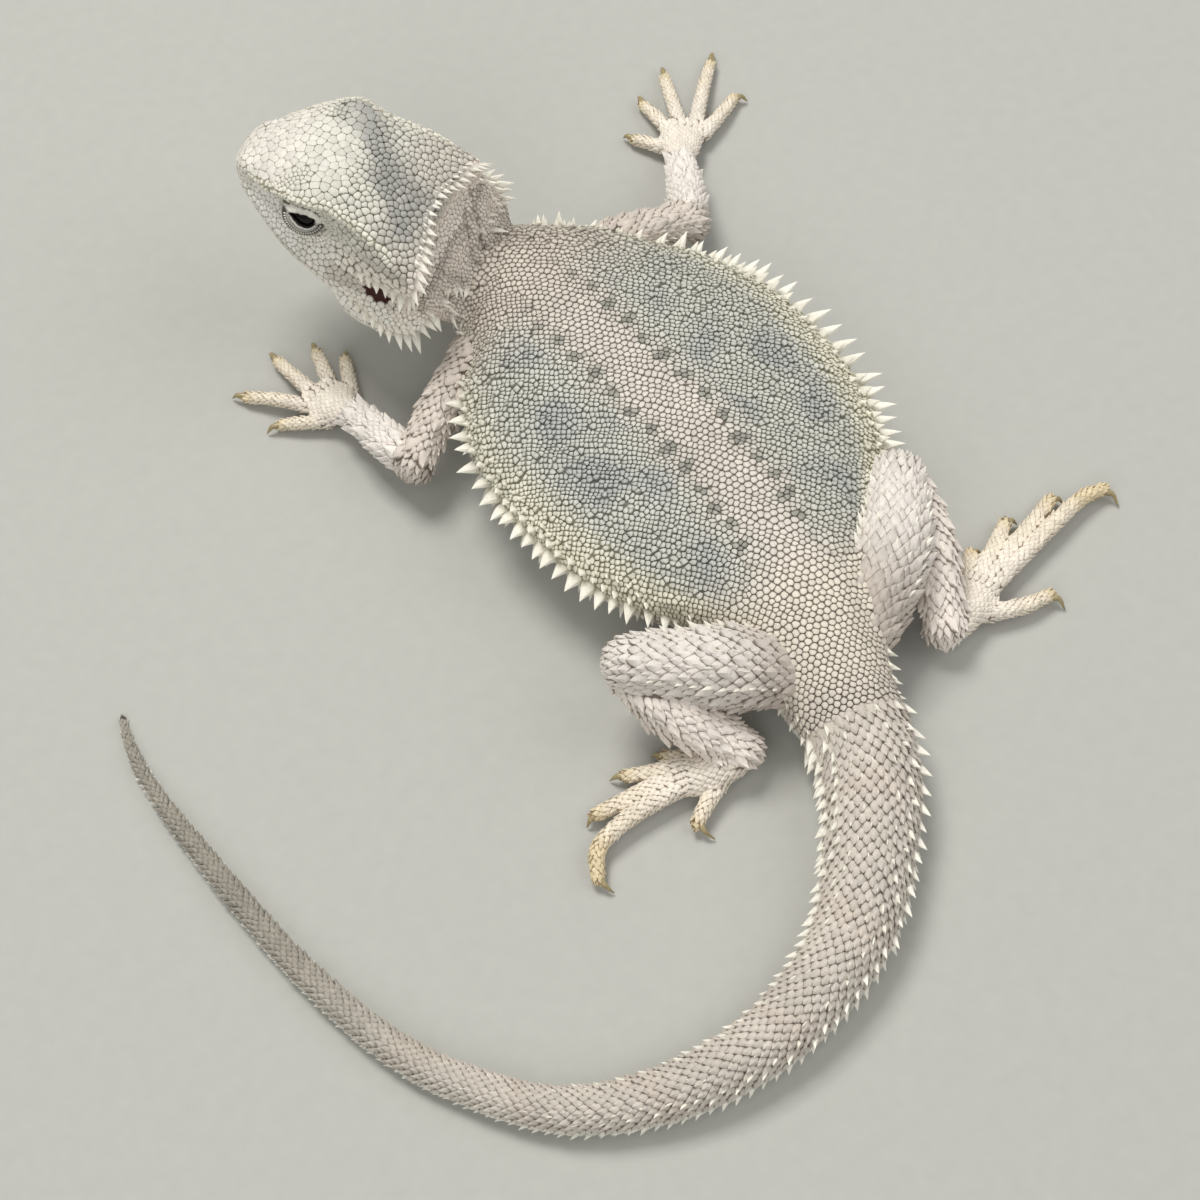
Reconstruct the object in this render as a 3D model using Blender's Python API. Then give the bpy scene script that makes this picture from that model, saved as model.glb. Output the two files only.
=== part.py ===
# Bearded dragon resting on a flat floor, life size. Lengths below are millimetres, angles degrees.
# The trunk runs along Y with the head toward -Y and the animal's left side toward +X.
# z = 0 is the floor.
import math
import random

import bmesh
import bpy
import numpy as np
from mathutils import Matrix, Vector
from mathutils.bvhtree import BVHTree

MM = 0.001
GAP = 0.3                      # space that touching nodes keep between them
MERGE = 0.00002                # metres, closes the seam of a wrapped sheet
FLOOR = 0.0

# Centre of the object's box in plan, which becomes the origin.
CENTRE_X = -2.492
CENTRE_Y = -3.497

# Trunk and tail in one row of stations, from the neck to the tip of the tail:
# x, y, height of the side edge, half width left and right, rise to the back, drop to the belly
TRUNK = (
    (-18.4, -84.2, 20.0, 15.0, 17.0, 10.0, 11.0),
    (-22.6, -77.4, 19.0, 19.5, 23.5, 12.0, 13.0),
    (-26.4, -67.5, 18.5, 27.5, 32.0, 13.0, 15.0),
    (-28.7, -55.0, 18.5, 36.0, 41.5, 13.5, 17.5),
    (-30.5, -41.7, 18.5, 42.0, 47.0, 13.5, 20.0),
    (-32.6, -27.8, 18.5, 44.2, 48.5, 13.5, 21.0),
    (-34.0, -13.2, 18.5, 43.8, 47.5, 13.5, 21.0),
    (-34.3, 1.0, 18.5, 41.2, 44.5, 13.5, 21.0),
    (-34.3, 12.0, 18.0, 36.5, 39.0, 13.5, 20.5),
    (-34.0, 24.0, 17.0, 28.0, 29.0, 13.5, 19.5),
    (-32.7, 35.2, 15.5, 20.5, 21.0, 13.5, 17.5),
    (-30.4, 46.4, 13.5, 16.0, 16.5, 13.0, 15.0),
    (-28.6, 57.0, 11.5, 13.5, 14.0, 12.0, 12.8),
    (-26.6, 69.0, 10.3, 11.8, 12.0, 10.6, 11.2),
    (-20.5, 81.9, 9.5, 10.9, 11.1, 9.8, 10.2),
    (-4.3, 100.7, 8.1, 9.6, 9.6, 8.4, 8.8),
    (12.2, 110.8, 7.1, 8.3, 8.3, 7.3, 7.7),
    (33.7, 115.7, 6.2, 7.1, 7.1, 6.3, 6.7),
    (55.8, 113.7, 5.4, 6.1, 6.1, 5.5, 5.8),
    (75.9, 105.0, 4.5, 5.0, 5.0, 4.5, 4.8),
    (90.3, 89.4, 3.7, 4.2, 4.2, 3.8, 4.0),
    (100.7, 70.8, 3.2, 3.6, 3.6, 3.2, 3.4),
    (108.2, 44.2, 2.7, 3.0, 3.0, 2.7, 2.9),
    (112.6, 12.9, 2.2, 2.5, 2.5, 2.2, 2.4),
    (114.8, -14.5, 1.4, 1.6, 1.6, 1.4, 1.6),
    (113.4, -28.7, 0.9, 1.0, 1.0, 0.9, 1.0),
    (111.5, -34.0, 0.6, 0.6, 0.6, 0.6, 0.7),
)
# Node, first and last station of TRUNK that it spans, rings along it, sides round it
TRUNK_NODES = (
    ("torso", 0.0, 9.0, 16, 26),
    ("hips", 9.0, 12.6, 7, 20),
    ("tail_1", 12.6, 15.0, 7, 16),
    ("tail_2", 15.0, 17.6, 8, 14),
    ("tail_3", 17.6, 19.6, 8, 12),
    ("tail_4", 19.6, 21.6, 7, 10),
    ("tail_5", 21.6, 26.0, 9, 8),
)

# Neck from inside the head to inside the torso, in the head's axes: forward, to the left, up, and the half
# sizes left, right, up, down. It bulges on the right, because the head is turned to the left.
NECK = (
    (-8.0, 0.0, -3.5, 13.5, 13.5, 8.0, 11.0),
    (-20.0, -0.5, -2.5, 17.0, 19.0, 6.0, 13.0),
    (-27.0, -2.2, -5.0, 19.0, 22.0, 4.0, 13.0),
    (-32.5, -4.0, -11.0, 18.5, 21.5, 2.8, 9.5),
    (-39.0, -5.0, -17.0, 14.0, 15.0, 3.5, 6.0),
)
NECK_RINGS = 9
NECK_SIDES = 20

# Limb segments: x, y, z, half width, half height at each station
UPPER_ARM_LEFT = ((-12.0, -69.0, 19.5, 6.0, 6.0), (6.0, -60.0, 16.5, 5.4, 5.6), (20.5, -51.5, 12.0, 4.8, 4.9))
FOREARM_LEFT = ((20.5, -51.5, 12.0, 4.9, 5.0), (22.8, -62.0, 10.5, 4.8, 4.7), (24.5, -75.6, 6.8, 3.7, 3.5))
UPPER_ARM_RIGHT = (
    (-46.0, -77.5, 19.5, 6.0, 6.0),
    (-62.0, -77.0, 16.5, 5.4, 5.6),
    (-77.0, -76.0, 12.0, 4.8, 4.9),
)
FOREARM_RIGHT = (
    (-77.0, -76.0, 12.0, 4.9, 5.0),
    (-82.5, -86.0, 10.5, 4.8, 4.7),
    (-88.7, -97.8, 6.8, 3.7, 3.5),
)
THIGH_LEFT = ((-23.5, 47.5, 15.0, 8.5, 7.5), (-8.0, 40.5, 20.5, 9.6, 9.0), (10.3, 29.0, 23.0, 6.6, 6.4))
SHANK_LEFT = ((10.5, 30.0, 20.0, 6.2, 6.2), (6.0, 42.0, 14.5, 6.4, 6.2), (-3.4, 55.0, 8.4, 4.6, 4.5))
THIGH_RIGHT = ((-43.0, 47.0, 15.0, 8.5, 7.5), (-58.0, 36.0, 20.5, 9.6, 9.0), (-70.2, 21.5, 23.0, 6.6, 6.4))
SHANK_RIGHT = ((-71.5, 22.5, 20.0, 6.2, 6.2), (-69.0, 38.0, 14.5, 6.4, 6.2), (-61.8, 54.5, 8.4, 4.6, 4.5))
LIMB_SIDES = 10
LIMB_RINGS = 6

# Palms and soles: x, y, z, half width, half height; then the digits, each a row of x, y, z from its root
# to its tip, and last the claw's tip
HAND_LEFT = ((24.5, -75.6, 6.2, 3.6, 3.4), (26.2, -80.5, 4.6, 5.6, 3.2), (27.2, -85.5, 3.4, 6.3, 2.7))
HAND_RIGHT = ((-88.7, -97.8, 6.2, 3.6, 3.4), (-92.5, -103.0, 4.6, 5.6, 3.2), (-96.0, -107.5, 3.4, 6.3, 2.7))
SOLE_LEFT = ((-3.4, 55.0, 7.0, 4.8, 4.6), (3.0, 54.5, 5.2, 5.2, 4.2), (9.5, 52.5, 4.0, 5.4, 3.4))
SOLE_RIGHT = ((-61.8, 54.5, 7.0, 4.8, 4.6), (-69.5, 52.5, 5.2, 5.2, 4.2), (-76.5, 49.5, 4.0, 5.4, 3.4))
DIGITS_HAND_LEFT = (
    ((21.5, -81.5, 3.4), (18.6, -88.5, 2.9), (16.6, -93.6, 2.2), (14.6, -95.6, 0.7)),
    ((24.5, -86.0, 3.2), (23.0, -93.0, 3.4), (21.6, -99.4, 2.2), (20.9, -103.2, 0.7)),
    ((28.5, -87.0, 3.2), (30.3, -95.0, 3.6), (31.3, -102.4, 2.2), (31.6, -106.4, 0.7)),
    ((30.5, -84.0, 3.2), (37.0, -90.8, 3.6), (43.4, -97.0, 2.2), (46.0, -99.6, 0.7)),
    ((28.5, -78.0, 3.4), (34.2, -81.2, 3.2), (40.3, -85.0, 2.2), (43.9, -85.4, 0.7)),
)
DIGITS_HAND_RIGHT = (
    ((-90.0, -104.5, 3.4), (-87.0, -109.8, 2.9), (-84.5, -113.6, 2.2), (-83.2, -116.6, 0.7)),
    ((-93.5, -108.5, 3.2), (-93.4, -115.5, 3.4), (-93.3, -122.2, 2.2), (-94.2, -126.2, 0.7)),
    ((-97.0, -109.5, 3.2), (-100.2, -119.0, 3.6), (-103.5, -127.2, 2.2), (-105.3, -131.4, 0.7)),
    ((-100.0, -107.5, 3.2), (-108.8, -116.5, 3.6), (-116.8, -124.5, 2.2), (-120.2, -128.2, 0.7)),
    ((-99.5, -103.5, 3.4), (-108.0, -107.2, 3.2), (-115.3, -110.8, 2.2), (-118.4, -108.9, 0.7)),
)
DIGITS_SOLE_LEFT = (
    ((5.0, 50.5, 4.2), (8.3, 47.6, 3.4), (11.2, 44.6, 2.6), (13.4, 42.4, 0.7)),
    ((8.0, 50.2, 4.2), (15.0, 47.4, 3.6), (21.4, 44.0, 2.6), (24.6, 42.2, 0.7)),
    ((10.5, 51.5, 4.2), (22.0, 49.8, 3.8), (32.4, 48.6, 2.6), (35.6, 49.4, 0.7)),
    ((11.5, 54.0, 4.2), (25.0, 53.8, 4.4), (36.5, 56.0, 3.6), (40.9, 62.0, 2.4), (39.3, 66.4, 0.7)),
    ((3.0, 57.0, 4.2), (9.5, 60.2, 3.6), (14.6, 63.0, 2.8), (12.6, 67.8, 0.7)),
)
DIGITS_SOLE_RIGHT = (
    ((-71.5, 49.0, 4.2), (-77.0, 44.5, 3.4), (-81.8, 39.4, 2.6), (-84.6, 40.6, 0.7)),
    ((-76.0, 47.0, 4.2), (-86.0, 42.2, 3.6), (-94.2, 37.0, 2.6), (-97.2, 38.2, 0.7)),
    ((-78.0, 48.0, 4.2), (-93.0, 43.2, 3.8), (-107.6, 37.8, 2.6), (-110.4, 39.6, 0.7)),
    ((-78.5, 50.5, 4.2), (-98.0, 45.6, 4.4), (-113.0, 42.2, 4.0), (-120.6, 42.4, 2.6), (-121.4, 47.6, 0.7)),
    ((-73.0, 55.0, 4.2), (-83.0, 58.4, 3.6), (-90.8, 59.2, 2.8), (-92.2, 63.6, 0.7)),
)
# Node, palm, digits, half width of a digit at its root and tip, and the limb that it ends
ENDS = (
    ("hand_left", HAND_LEFT, DIGITS_HAND_LEFT, 2.3, 1.7, "forearm_left"),
    ("hand_right", HAND_RIGHT, DIGITS_HAND_RIGHT, 2.3, 1.7, "forearm_right"),
    ("foot_left", SOLE_LEFT, DIGITS_SOLE_LEFT, 2.7, 1.9, "shank_left"),
    ("foot_right", SOLE_RIGHT, DIGITS_SOLE_RIGHT, 2.7, 1.9, "shank_right"),
)
PALM_RINGS = 4
PALM_SIDES = 12
DIGIT_SIDES = 6
CLAW_ROOT = 0.95               # half sizes
CLAW_MIDDLE = 0.72
CLAW_TIP = 0.2
CLAW_SUNK = 0.2
CLAW_ARCH = 0.9                # how far the middle is lifted, and carried forward
CLAW_REACH = 0.5
CLAW_SIDES = 5
CLAW_RINGS = 4

# The head's own axes: x forward, y to the animal's left, z up
HEAD_PLACE = (2.6, -105.6, 46.7)
HEAD_YAW = -53.8
HEAD_PITCH = 15.0
# forward | crown z | brow y, z | eye side y, z | lip y, z | jaw y, z | throat z
HEAD_RAILS = (
    (30.2, -4.8, 1.0, -5.2, 1.4, -6.0, 1.5, -7.0, 1.2, -8.0, -8.4),
    (29.4, -1.2, 4.0, -1.8, 4.0, -4.6, 2.9, -6.9, 2.2, -8.8, -9.6),
    (27.4, 1.8, 7.2, 1.0, 6.6, -3.2, 5.7, -6.9, 3.9, -9.8, -11.2),
    (24.0, 5.2, 9.6, 1.4, 8.4, -1.4, 8.6, -7.4, 6.2, -11.4, -13.0),
    (19.0, 9.6, 13.0, 4.8, 10.4, 0.8, 11.6, -8.2, 8.8, -12.6, -14.6),
    (13.5, 12.9, 15.3, 9.2, 12.2, 3.4, 14.8, -9.0, 11.8, -13.4, -15.8),
    (8.0, 14.4, 17.2, 12.6, 13.6, 5.2, 17.2, -9.6, 14.2, -14.2, -16.8),
    (2.0, 15.4, 15.9, 13.0, 15.2, 5.0, 18.9, -10.1, 16.4, -14.9, -17.8),
    (-4.0, 15.4, 16.9, 12.0, 17.4, 4.0, 20.2, -10.4, 18.6, -15.4, -18.4),
    (-10.0, 14.2, 19.5, 10.0, 19.6, 2.0, 20.6, -10.0, 22.2, -15.6, -18.6),
    (-16.0, 12.4, 20.8, 6.4, 20.0, -1.2, 20.8, -8.6, 23.4, -15.2, -18.2),
    (-20.6, 9.8, 21.2, 3.0, 19.6, -2.6, 21.0, -8.6, 23.6, -14.8, -17.2),
    (-22.2, 4.0, 18.0, -0.6, 18.0, -4.4, 20.6, -8.8, 23.4, -14.4, -16.8),
    (-25.0, -5.0, 10.0, -5.6, 15.0, -7.6, 19.5, -9.8, 22.6, -14.0, -16.2),
    (-29.0, -9.0, 8.0, -9.4, 13.0, -10.4, 17.0, -11.8, 19.0, -13.8, -15.4),
    (-31.0, -11.0, 5.0, -11.2, 9.0, -11.6, 12.0, -12.4, 13.0, -13.4, -14.4),
)
HEAD_STEPS = (3, 2, 3, 2, 2)   # points between one rail and the next, crown to throat, on each side
HEAD_RINGS = 25
# The rear corners of the crest lie farther back than its middle: how far, the side place where that is,
# and the stretches of forward and up over which it sets in
CREST_SWEEP = 4.2
CREST_SIDE = 21.2
CREST_FORWARD = (-6.0, -20.0)
CREST_UP = (-9.0, -3.0)

EYE_PLACE = (7.5, 12.7, 4.2)
EYE_SIZE = 4.9
LID_SIZE = 6.0
LID_SLIT = (3.6, 1.9)          # half length and half height of the open part
SLIT_SIDES = 12
LID_PARTS = (14, 9)            # steps round and from pole to pole
EYE_PARTS = (12, 8)
CUP_PARTS = (10, 6)            # of an ear or nostril
EAR_PLACE = (-15.0, 20.6, -4.2)
EAR_SIZE = (3.6, 2.0, 2.2)
NOSTRIL_PLACE = (25.0, 8.2, -2.2)
NOSTRIL_SIZE = (1.3, 0.9, 0.8)
# Line that parts head and lower jaw, seen from the side: forward, up. Behind the corner of the mouth it
# rises over the beard.
MOUTH_LINE = (
    (40.0, -7.2),
    (29.0, -7.5),
    (24.0, -8.1),
    (12.0, -9.8),
    (-2.0, -11.0),
    (-8.0, -11.2),
    (-16.0, -10.6),
    (-24.0, -9.8),
    (-34.0, -9.2),
)
MOUTH_HALF_WIDTH = 40.0

# Spines are cones of four sides. Those on the trunk, neck and limbs stand in rows along a flesh form:
# first station and angle, last station and angle, count, length, width,
# then how far they lean out of the skin, along the form and up.
SPINE_SEED = 41
SPINE_ROOT = 1.3               # how deep a root is sunk, at least
SPINE_FLAT = 0.62              # thickness for a width of 1
SPINE_CLEAR = 0.36             # least distance to any other node
SPINE_TRIES = (1.0, 0.8, 0.62, 0.46)
SPINE_LOWEST = 0.5             # height that a tip keeps over the floor
SPINE_SEAT = 0.6               # farthest that a root may lie from its node's surface
SPINE_TESTS = (0.0, 0.25, 0.5, 0.75, 1.0)   # places along a spine where distances are taken
SPINE_ROWS = {
    "torso": (
        (1.25, 180, 8.9, 181, 27, 5.6, 3.0, 1.0, 0.22, 0.34),
        (1.35, 0, 8.8, -1, 23, 5.6, 3.0, 1.0, 0.22, 0.34),
        (1.7, 168, 8.5, 168, 19, 3.2, 2.3, 1.0, 0.35, 0.5),
        (1.8, 12, 8.4, 12, 17, 3.2, 2.3, 1.0, 0.35, 0.5),
        (0.85, 162, 1.35, 160, 3, 5.0, 2.8, 1.0, -0.5, 0.7),
        (0.75, 172, 1.15, 172, 2, 4.2, 2.6, 1.0, -0.3, 0.5),
        (0.5, 10, 1.1, 12, 3, 3.8, 2.4, 1.0, -0.1, 0.5),
    ),
    "neck": (
        (1.3, 172, 2.9, 172, 7, 4.4, 2.4, 1.0, 0.8, 0.1),
        (2.3, 150, 3.0, 140, 3, 2.8, 2.0, 1.0, 1.0, 0.1),
        (1.6, 8, 2.9, 8, 5, 3.6, 2.3, 1.0, 0.8, 0.1),
        (2.5, 30, 3.0, 38, 3, 2.6, 2.0, 1.0, 1.0, 0.1),
    ),
    "hips": (
        (9.5, 178, 12.3, 178, 6, 3.2, 2.3, 1.0, 0.6, 0.2),
        (9.5, 2, 12.3, 2, 6, 3.2, 2.3, 1.0, 0.6, 0.2),
    ),
    "thigh_left": (
        (0.5, 150, 1.8, 150, 7, 2.6, 2.2, 1.0, 0.8, 0.2),
        (0.6, 95, 1.7, 95, 5, 2.0, 2.0, 1.0, 1.1, 0.0),
        (0.4, 35, 1.8, 35, 7, 2.8, 2.3, 1.0, 0.8, 0.2),
    ),
    "thigh_right": (
        (0.5, 30, 1.8, 30, 7, 2.6, 2.2, 1.0, 0.8, 0.2),
        (0.6, 85, 1.7, 85, 5, 2.0, 2.0, 1.0, 1.1, 0.0),
        (0.4, 145, 1.8, 145, 7, 2.8, 2.3, 1.0, 0.8, 0.2),
    ),
    "shank_left": (
        (0.2, 165, 1.8, 170, 6, 2.3, 2.0, 1.0, 0.7, 0.1),
        (0.3, 120, 1.7, 125, 4, 1.9, 1.8, 1.0, 1.0, 0.0),
    ),
    "shank_right": (
        (0.2, 15, 1.8, 10, 6, 2.3, 2.0, 1.0, 0.7, 0.1),
        (0.3, 60, 1.7, 55, 4, 1.9, 1.8, 1.0, 1.0, 0.0),
    ),
    "upper_arm_left": ((0.7, 165, 1.9, 165, 5, 2.0, 1.8, 1.0, 0.8, 0.1),),
    "upper_arm_right": ((0.7, 15, 1.9, 15, 5, 2.0, 1.8, 1.0, 0.8, 0.1),),
    "forearm_left": ((0.2, 10, 1.5, 10, 4, 1.6, 1.6, 1.0, 0.8, 0.1),),
    "forearm_right": ((0.2, 170, 1.5, 170, 4, 1.6, 1.6, 1.0, 0.8, 0.1),),
}
# Rings of spines on the tail: node, first and last station, rings, spines in a ring
TAIL_RINGS = (
    ("tail_1", 12.85, 14.75, 6, 9),
    ("tail_2", 15.15, 17.35, 9, 7),
    ("tail_3", 17.75, 19.45, 8, 6),
    ("tail_4", 19.75, 21.45, 8, 4),
    ("tail_5", 21.75, 24.6, 10, 2),
)
TAIL_SPREAD = 105              # degrees that a ring reaches down each side from the back
TAIL_SPINE_LENGTH = (1.0, 0.2)   # fixed part, and share of the tail's half width there
TAIL_SPINE_WIDTH = (0.9, 0.14)
# Rows on the left of the head, mirrored to the right, in the head's axes: node, first and last place,
# count, first and last length, width, and the way they lean beside straight out
HEAD_ROWS = (
    ("head", (-20.4, 1.6, 9.4), (-22.4, 13.0, 7.4), 5, 1.7, 2.6, 2.3, (-1.3, 0.0, -0.1)),
    ("head", (-23.2, 15.8, 5.8), (-25.0, 21.0, 2.6), 3, 3.0, 4.2, 2.7, (-1.2, 0.2, -0.2)),
    ("head", (-8.0, 19.8, -1.6), (-21.0, 20.8, -1.8), 6, 1.8, 3.6, 2.5, (-1.0, 0.3, -0.1)),
    ("lower_jaw", (-5.5, 20.6, -14.6), (-27.5, 20.6, -13.8), 12, 3.6, 5.8, 2.7, (-0.3, 0.35, -0.4)),
    ("lower_jaw", (-5.0, 20.0, -12.8), (-25.5, 21.0, -11.8), 8, 2.4, 3.8, 2.3, (-0.5, 0.25, -0.1)),
    ("lower_jaw", (-29.6, 15.5, -12.6), (-30.8, 10.0, -12.2), 2, 6.2, 4.2, 3.2, (-0.8, 0.7, -0.1)),
    ("lower_jaw", (-13.0, 3.5, -18.4), (-18.0, 17.0, -17.6), 4, 1.8, 3.0, 2.1, (-0.9, 0.0, -0.3)),
)

# Finish of each kind of node: colour in linear red, green, blue, then roughness
FINISHES = {
    "scales_pale": ((0.62, 0.56, 0.50), 0.6),
    "scales_grey": ((0.46, 0.46, 0.44), 0.6),
    "claw_horn": ((0.30, 0.22, 0.12), 0.35),
    "eye_dark": ((0.01, 0.01, 0.012), 0.08),
}


def hermite(rows, stations):
    """Rows read at fractional station numbers on a smooth curve through all of them."""
    rows = np.asarray(rows, float)
    slopes = np.gradient(rows, axis=0)
    at = np.clip(np.asarray(stations, float), 0.0, len(rows) - 1)
    low = np.minimum(at.astype(int), len(rows) - 2)
    t = (at - low)[..., None]
    a, b, da, db = rows[low], rows[low + 1], slopes[low], slopes[low + 1]
    return (
        a * (2 * t**3 - 3 * t**2 + 1)
        + da * (t**3 - 2 * t**2 + t)
        + b * (3 * t**2 - 2 * t**3)
        + db * (t**3 - t**2)
    )


def placed(point):
    """A point of the tables, in metres about the object's origin."""
    return Vector(((point[0] - CENTRE_X) * MM, (point[1] - CENTRE_Y) * MM, point[2] * MM))


class Loft:
    """A flesh form along a row of stations x, y, z, left, right, up, down."""

    step = 0.02                # of a station, for slopes
    cap_turns = (70, 45, 20)   # degrees of the rings in a rounded end

    def __init__(self, rows, round_start=False, round_end=False, facing=None):
        full = [row if len(row) == 7 else (*row[:3], *[row[3]] * 2, *[row[4]] * 2) for row in rows]
        self.rows = np.array(full)
        self.round_start = round_start
        self.round_end = round_end
        self.facing = facing       # direction that every section faces, or None for that of its centre line
        self.last = len(self.rows) - 1

    def frame(self, station):
        """Centre, left, up and tangent there, and the four half sizes."""
        here = hermite(self.rows, station)
        ahead = hermite(self.rows, min(station + self.step, self.last))[:3]
        behind = hermite(self.rows, max(station - self.step, 0.0))[:3]
        tangent = ahead - behind if self.facing is None else self.facing
        tangent = tangent / np.linalg.norm(tangent)
        left = np.cross(tangent, (0.0, 0.0, 1.0))
        left /= np.linalg.norm(left)
        up = np.cross(left, tangent)
        return here[:3], left, up, tangent, here[3:]

    def section(self, station, angle, grow=0.0, shrink=1.0, push=0.0):
        """A point round the section: angle 0 is the left edge, a quarter turn the back."""
        centre, left, up, tangent, (to_left, to_right, rise, drop) = self.frame(station)
        across, along = math.cos(angle), math.sin(angle)
        wide = (to_left if across > 0 else to_right) * shrink + grow
        tall = (rise if along > 0 else drop) * shrink + grow
        point = centre + left * across * wide + up * along * tall + tangent * push
        point[2] = max(point[2], FLOOR - grow)
        return point

    def normal(self, station, angle):
        """The direction straight out of the surface."""
        step = self.step
        point = self.section(station, angle)
        ahead = self.section(min(station + step, self.last), angle)
        along = ahead - self.section(max(station - step, 0.0), angle)
        round_it = self.section(station, angle + step) - self.section(station, angle - step)
        out = np.cross(round_it, along)
        out /= np.linalg.norm(out)
        centre = self.frame(station)[0]
        return out if np.dot(out, point - centre) > 0 else -out

    def rings(self, first, last, count, sides, grow=0.0):
        """Rings of points from one station to another, with rounded ends where the form has them."""
        angles = np.linspace(0.0, 2 * math.pi, sides, endpoint=False)
        made = []
        if self.round_start and first <= 0:
            size = float(np.mean(self.rows[0][3:]))
            for lean in np.radians(self.cap_turns):
                narrow = math.cos(lean)
                push = -(size + grow) * math.sin(lean)
                made.append([self.section(0, a, grow * narrow, narrow, push) for a in angles])
        for station in np.linspace(first, last, count):
            made.append([self.section(station, a, grow) for a in angles])
        if self.round_end and last >= self.last:
            size = float(np.mean(self.rows[-1][3:]))
            for lean in np.radians(self.cap_turns[::-1]):
                narrow = math.cos(lean)
                push = (size + grow) * math.sin(lean)
                made.append([self.section(self.last, a, grow * narrow, narrow, push) for a in angles])
        return made


def wrap(name, rings, place=placed):
    """One closed mesh object from rings of points: a grid wrapped into a tube, with its ends filled."""
    count, sides = len(rings), len(rings[0])
    bm = bmesh.new()
    bmesh.ops.create_grid(bm, x_segments=sides, y_segments=count - 1, size=1.0)
    bm.verts.ensure_lookup_table()
    for index, vert in enumerate(bm.verts):
        ring, side = divmod(index, sides + 1)
        vert.co = place(rings[ring][side % sides])
    bmesh.ops.remove_doubles(bm, verts=bm.verts, dist=MERGE)
    bmesh.ops.holes_fill(bm, edges=[e for e in bm.edges if e.is_boundary], sides=sides + 1)
    bmesh.ops.recalc_face_normals(bm, faces=bm.faces)
    mesh = bpy.data.meshes.new(name)
    bm.to_mesh(mesh)
    bm.free()
    node = bpy.data.objects.new(name, mesh)
    bpy.context.scene.collection.objects.link(node)
    return node


def remove(node):
    mesh = node.data
    bpy.data.objects.remove(node)
    bpy.data.meshes.remove(mesh)


def settle(node):
    """Replaces a node's mesh by what its modifiers make of it."""
    bpy.context.view_layer.update()
    made = bpy.data.meshes.new_from_object(node.evaluated_get(bpy.context.evaluated_depsgraph_get()))
    node.modifiers.clear()
    old = node.data
    node.data = made
    bpy.data.meshes.remove(old)


def joined_to(vert):
    """Every vertex of the surface that this one belongs to."""
    stack, island = [vert], {vert}
    while stack:
        for edge in stack.pop().link_edges:
            for end in edge.verts:
                if end not in island:
                    island.add(end)
                    stack.append(end)
    return island


def keep_island(node, choose):
    """Keeps one closed surface of a node, the one that choose picks from its vertices."""
    bm = bmesh.new()
    bm.from_mesh(node.data)
    keep = choose(bm)
    bmesh.ops.delete(bm, geom=[v for v in bm.verts if v not in keep], context="VERTS")
    bm.to_mesh(node.data)
    bm.free()


def keep_largest(node):
    """Drops every closed surface but the largest."""

    def box(island):
        spans = [max(v.co[k] for v in island) - min(v.co[k] for v in island) for k in range(3)]
        return spans[0] * spans[1] * spans[2]

    def choose(bm):
        left = set(bm.verts)
        islands = []
        while left:
            islands.append(joined_to(next(iter(left))))
            left -= islands[-1]
        return max(islands, key=box)

    keep_island(node, choose)


def boolean(node, others, operation):
    """Cuts a node by other objects, or joins them to it, and removes them."""
    for other in others:
        other.hide_render = True
        other.display_type = "WIRE"
        change = node.modifiers.new(operation.title(), "BOOLEAN")
        change.operation = operation
        change.object = other
    settle(node)
    for other in others:
        remove(other)
    keep_largest(node)


def join_all(node, pieces):
    """Fuses a node and many closed pieces into one body."""
    group = bpy.data.collections.new(node.name + "_pieces")
    bpy.context.scene.collection.children.link(group)
    for piece in pieces:
        bpy.context.scene.collection.objects.unlink(piece)
        group.objects.link(piece)
    change = node.modifiers.new("Join", "BOOLEAN")
    change.operation = "UNION"
    change.operand_type = "COLLECTION"
    change.collection = group
    settle(node)
    for piece in pieces:
        remove(piece)
    bpy.data.collections.remove(group)
    keep_largest(node)


def finish(node, kind):
    """Gives a node its material and smooth shading."""
    colour, roughness = FINISHES[kind]
    material = bpy.data.materials.new(node.name + "_" + kind)
    material.use_nodes = True
    shader = material.node_tree.nodes["Principled BSDF"]
    shader.inputs["Base Color"].default_value = (*colour, 1.0)
    shader.inputs["Roughness"].default_value = roughness
    shader.inputs["Metallic"].default_value = 0.0
    material.diffuse_color = (*colour, 1.0)
    node.data.materials.clear()
    node.data.materials.append(material)
    node.data.shade_smooth()
    node.data.set_sharp_from_angle(angle=math.radians(40))


def trunk_rings(name, grow=0.0):
    """The rings of one length of the trunk or tail, drawn back by half the gap where another meets it."""
    trunk = FORMS["trunk"]
    label, first, last, count, sides = next(row for row in TRUNK_NODES if row[0] == name)
    half = GAP / 2
    start = first + (half - grow) / speed(trunk, first) if first > 0 else first
    end = last - (half - grow) / speed(trunk, last) if last < trunk.last else last
    return trunk.rings(start, end, count, sides, grow)


def speed(form, station):
    """Millimetres that the centre line runs in one station, there."""
    step = 0.05
    low, high = max(station - step, 0.0), min(station + step, form.last)
    return float(np.linalg.norm(hermite(form.rows, high)[:3] - hermite(form.rows, low)[:3])) / (high - low)


def head_turn():
    yaw = Matrix.Rotation(math.radians(HEAD_YAW), 3, "Z")
    return yaw @ Matrix.Rotation(math.radians(-HEAD_PITCH), 3, "Y")


def neck_form():
    """The neck, moved from the head's axes to those of the tables. Its sections face as the head does."""
    turn = np.array(head_turn())
    rows = [(*(turn @ np.array(row[:3]) + np.array(HEAD_PLACE)), *row[3:]) for row in NECK]
    return Loft(rows, facing=-turn[:, 0])


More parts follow.
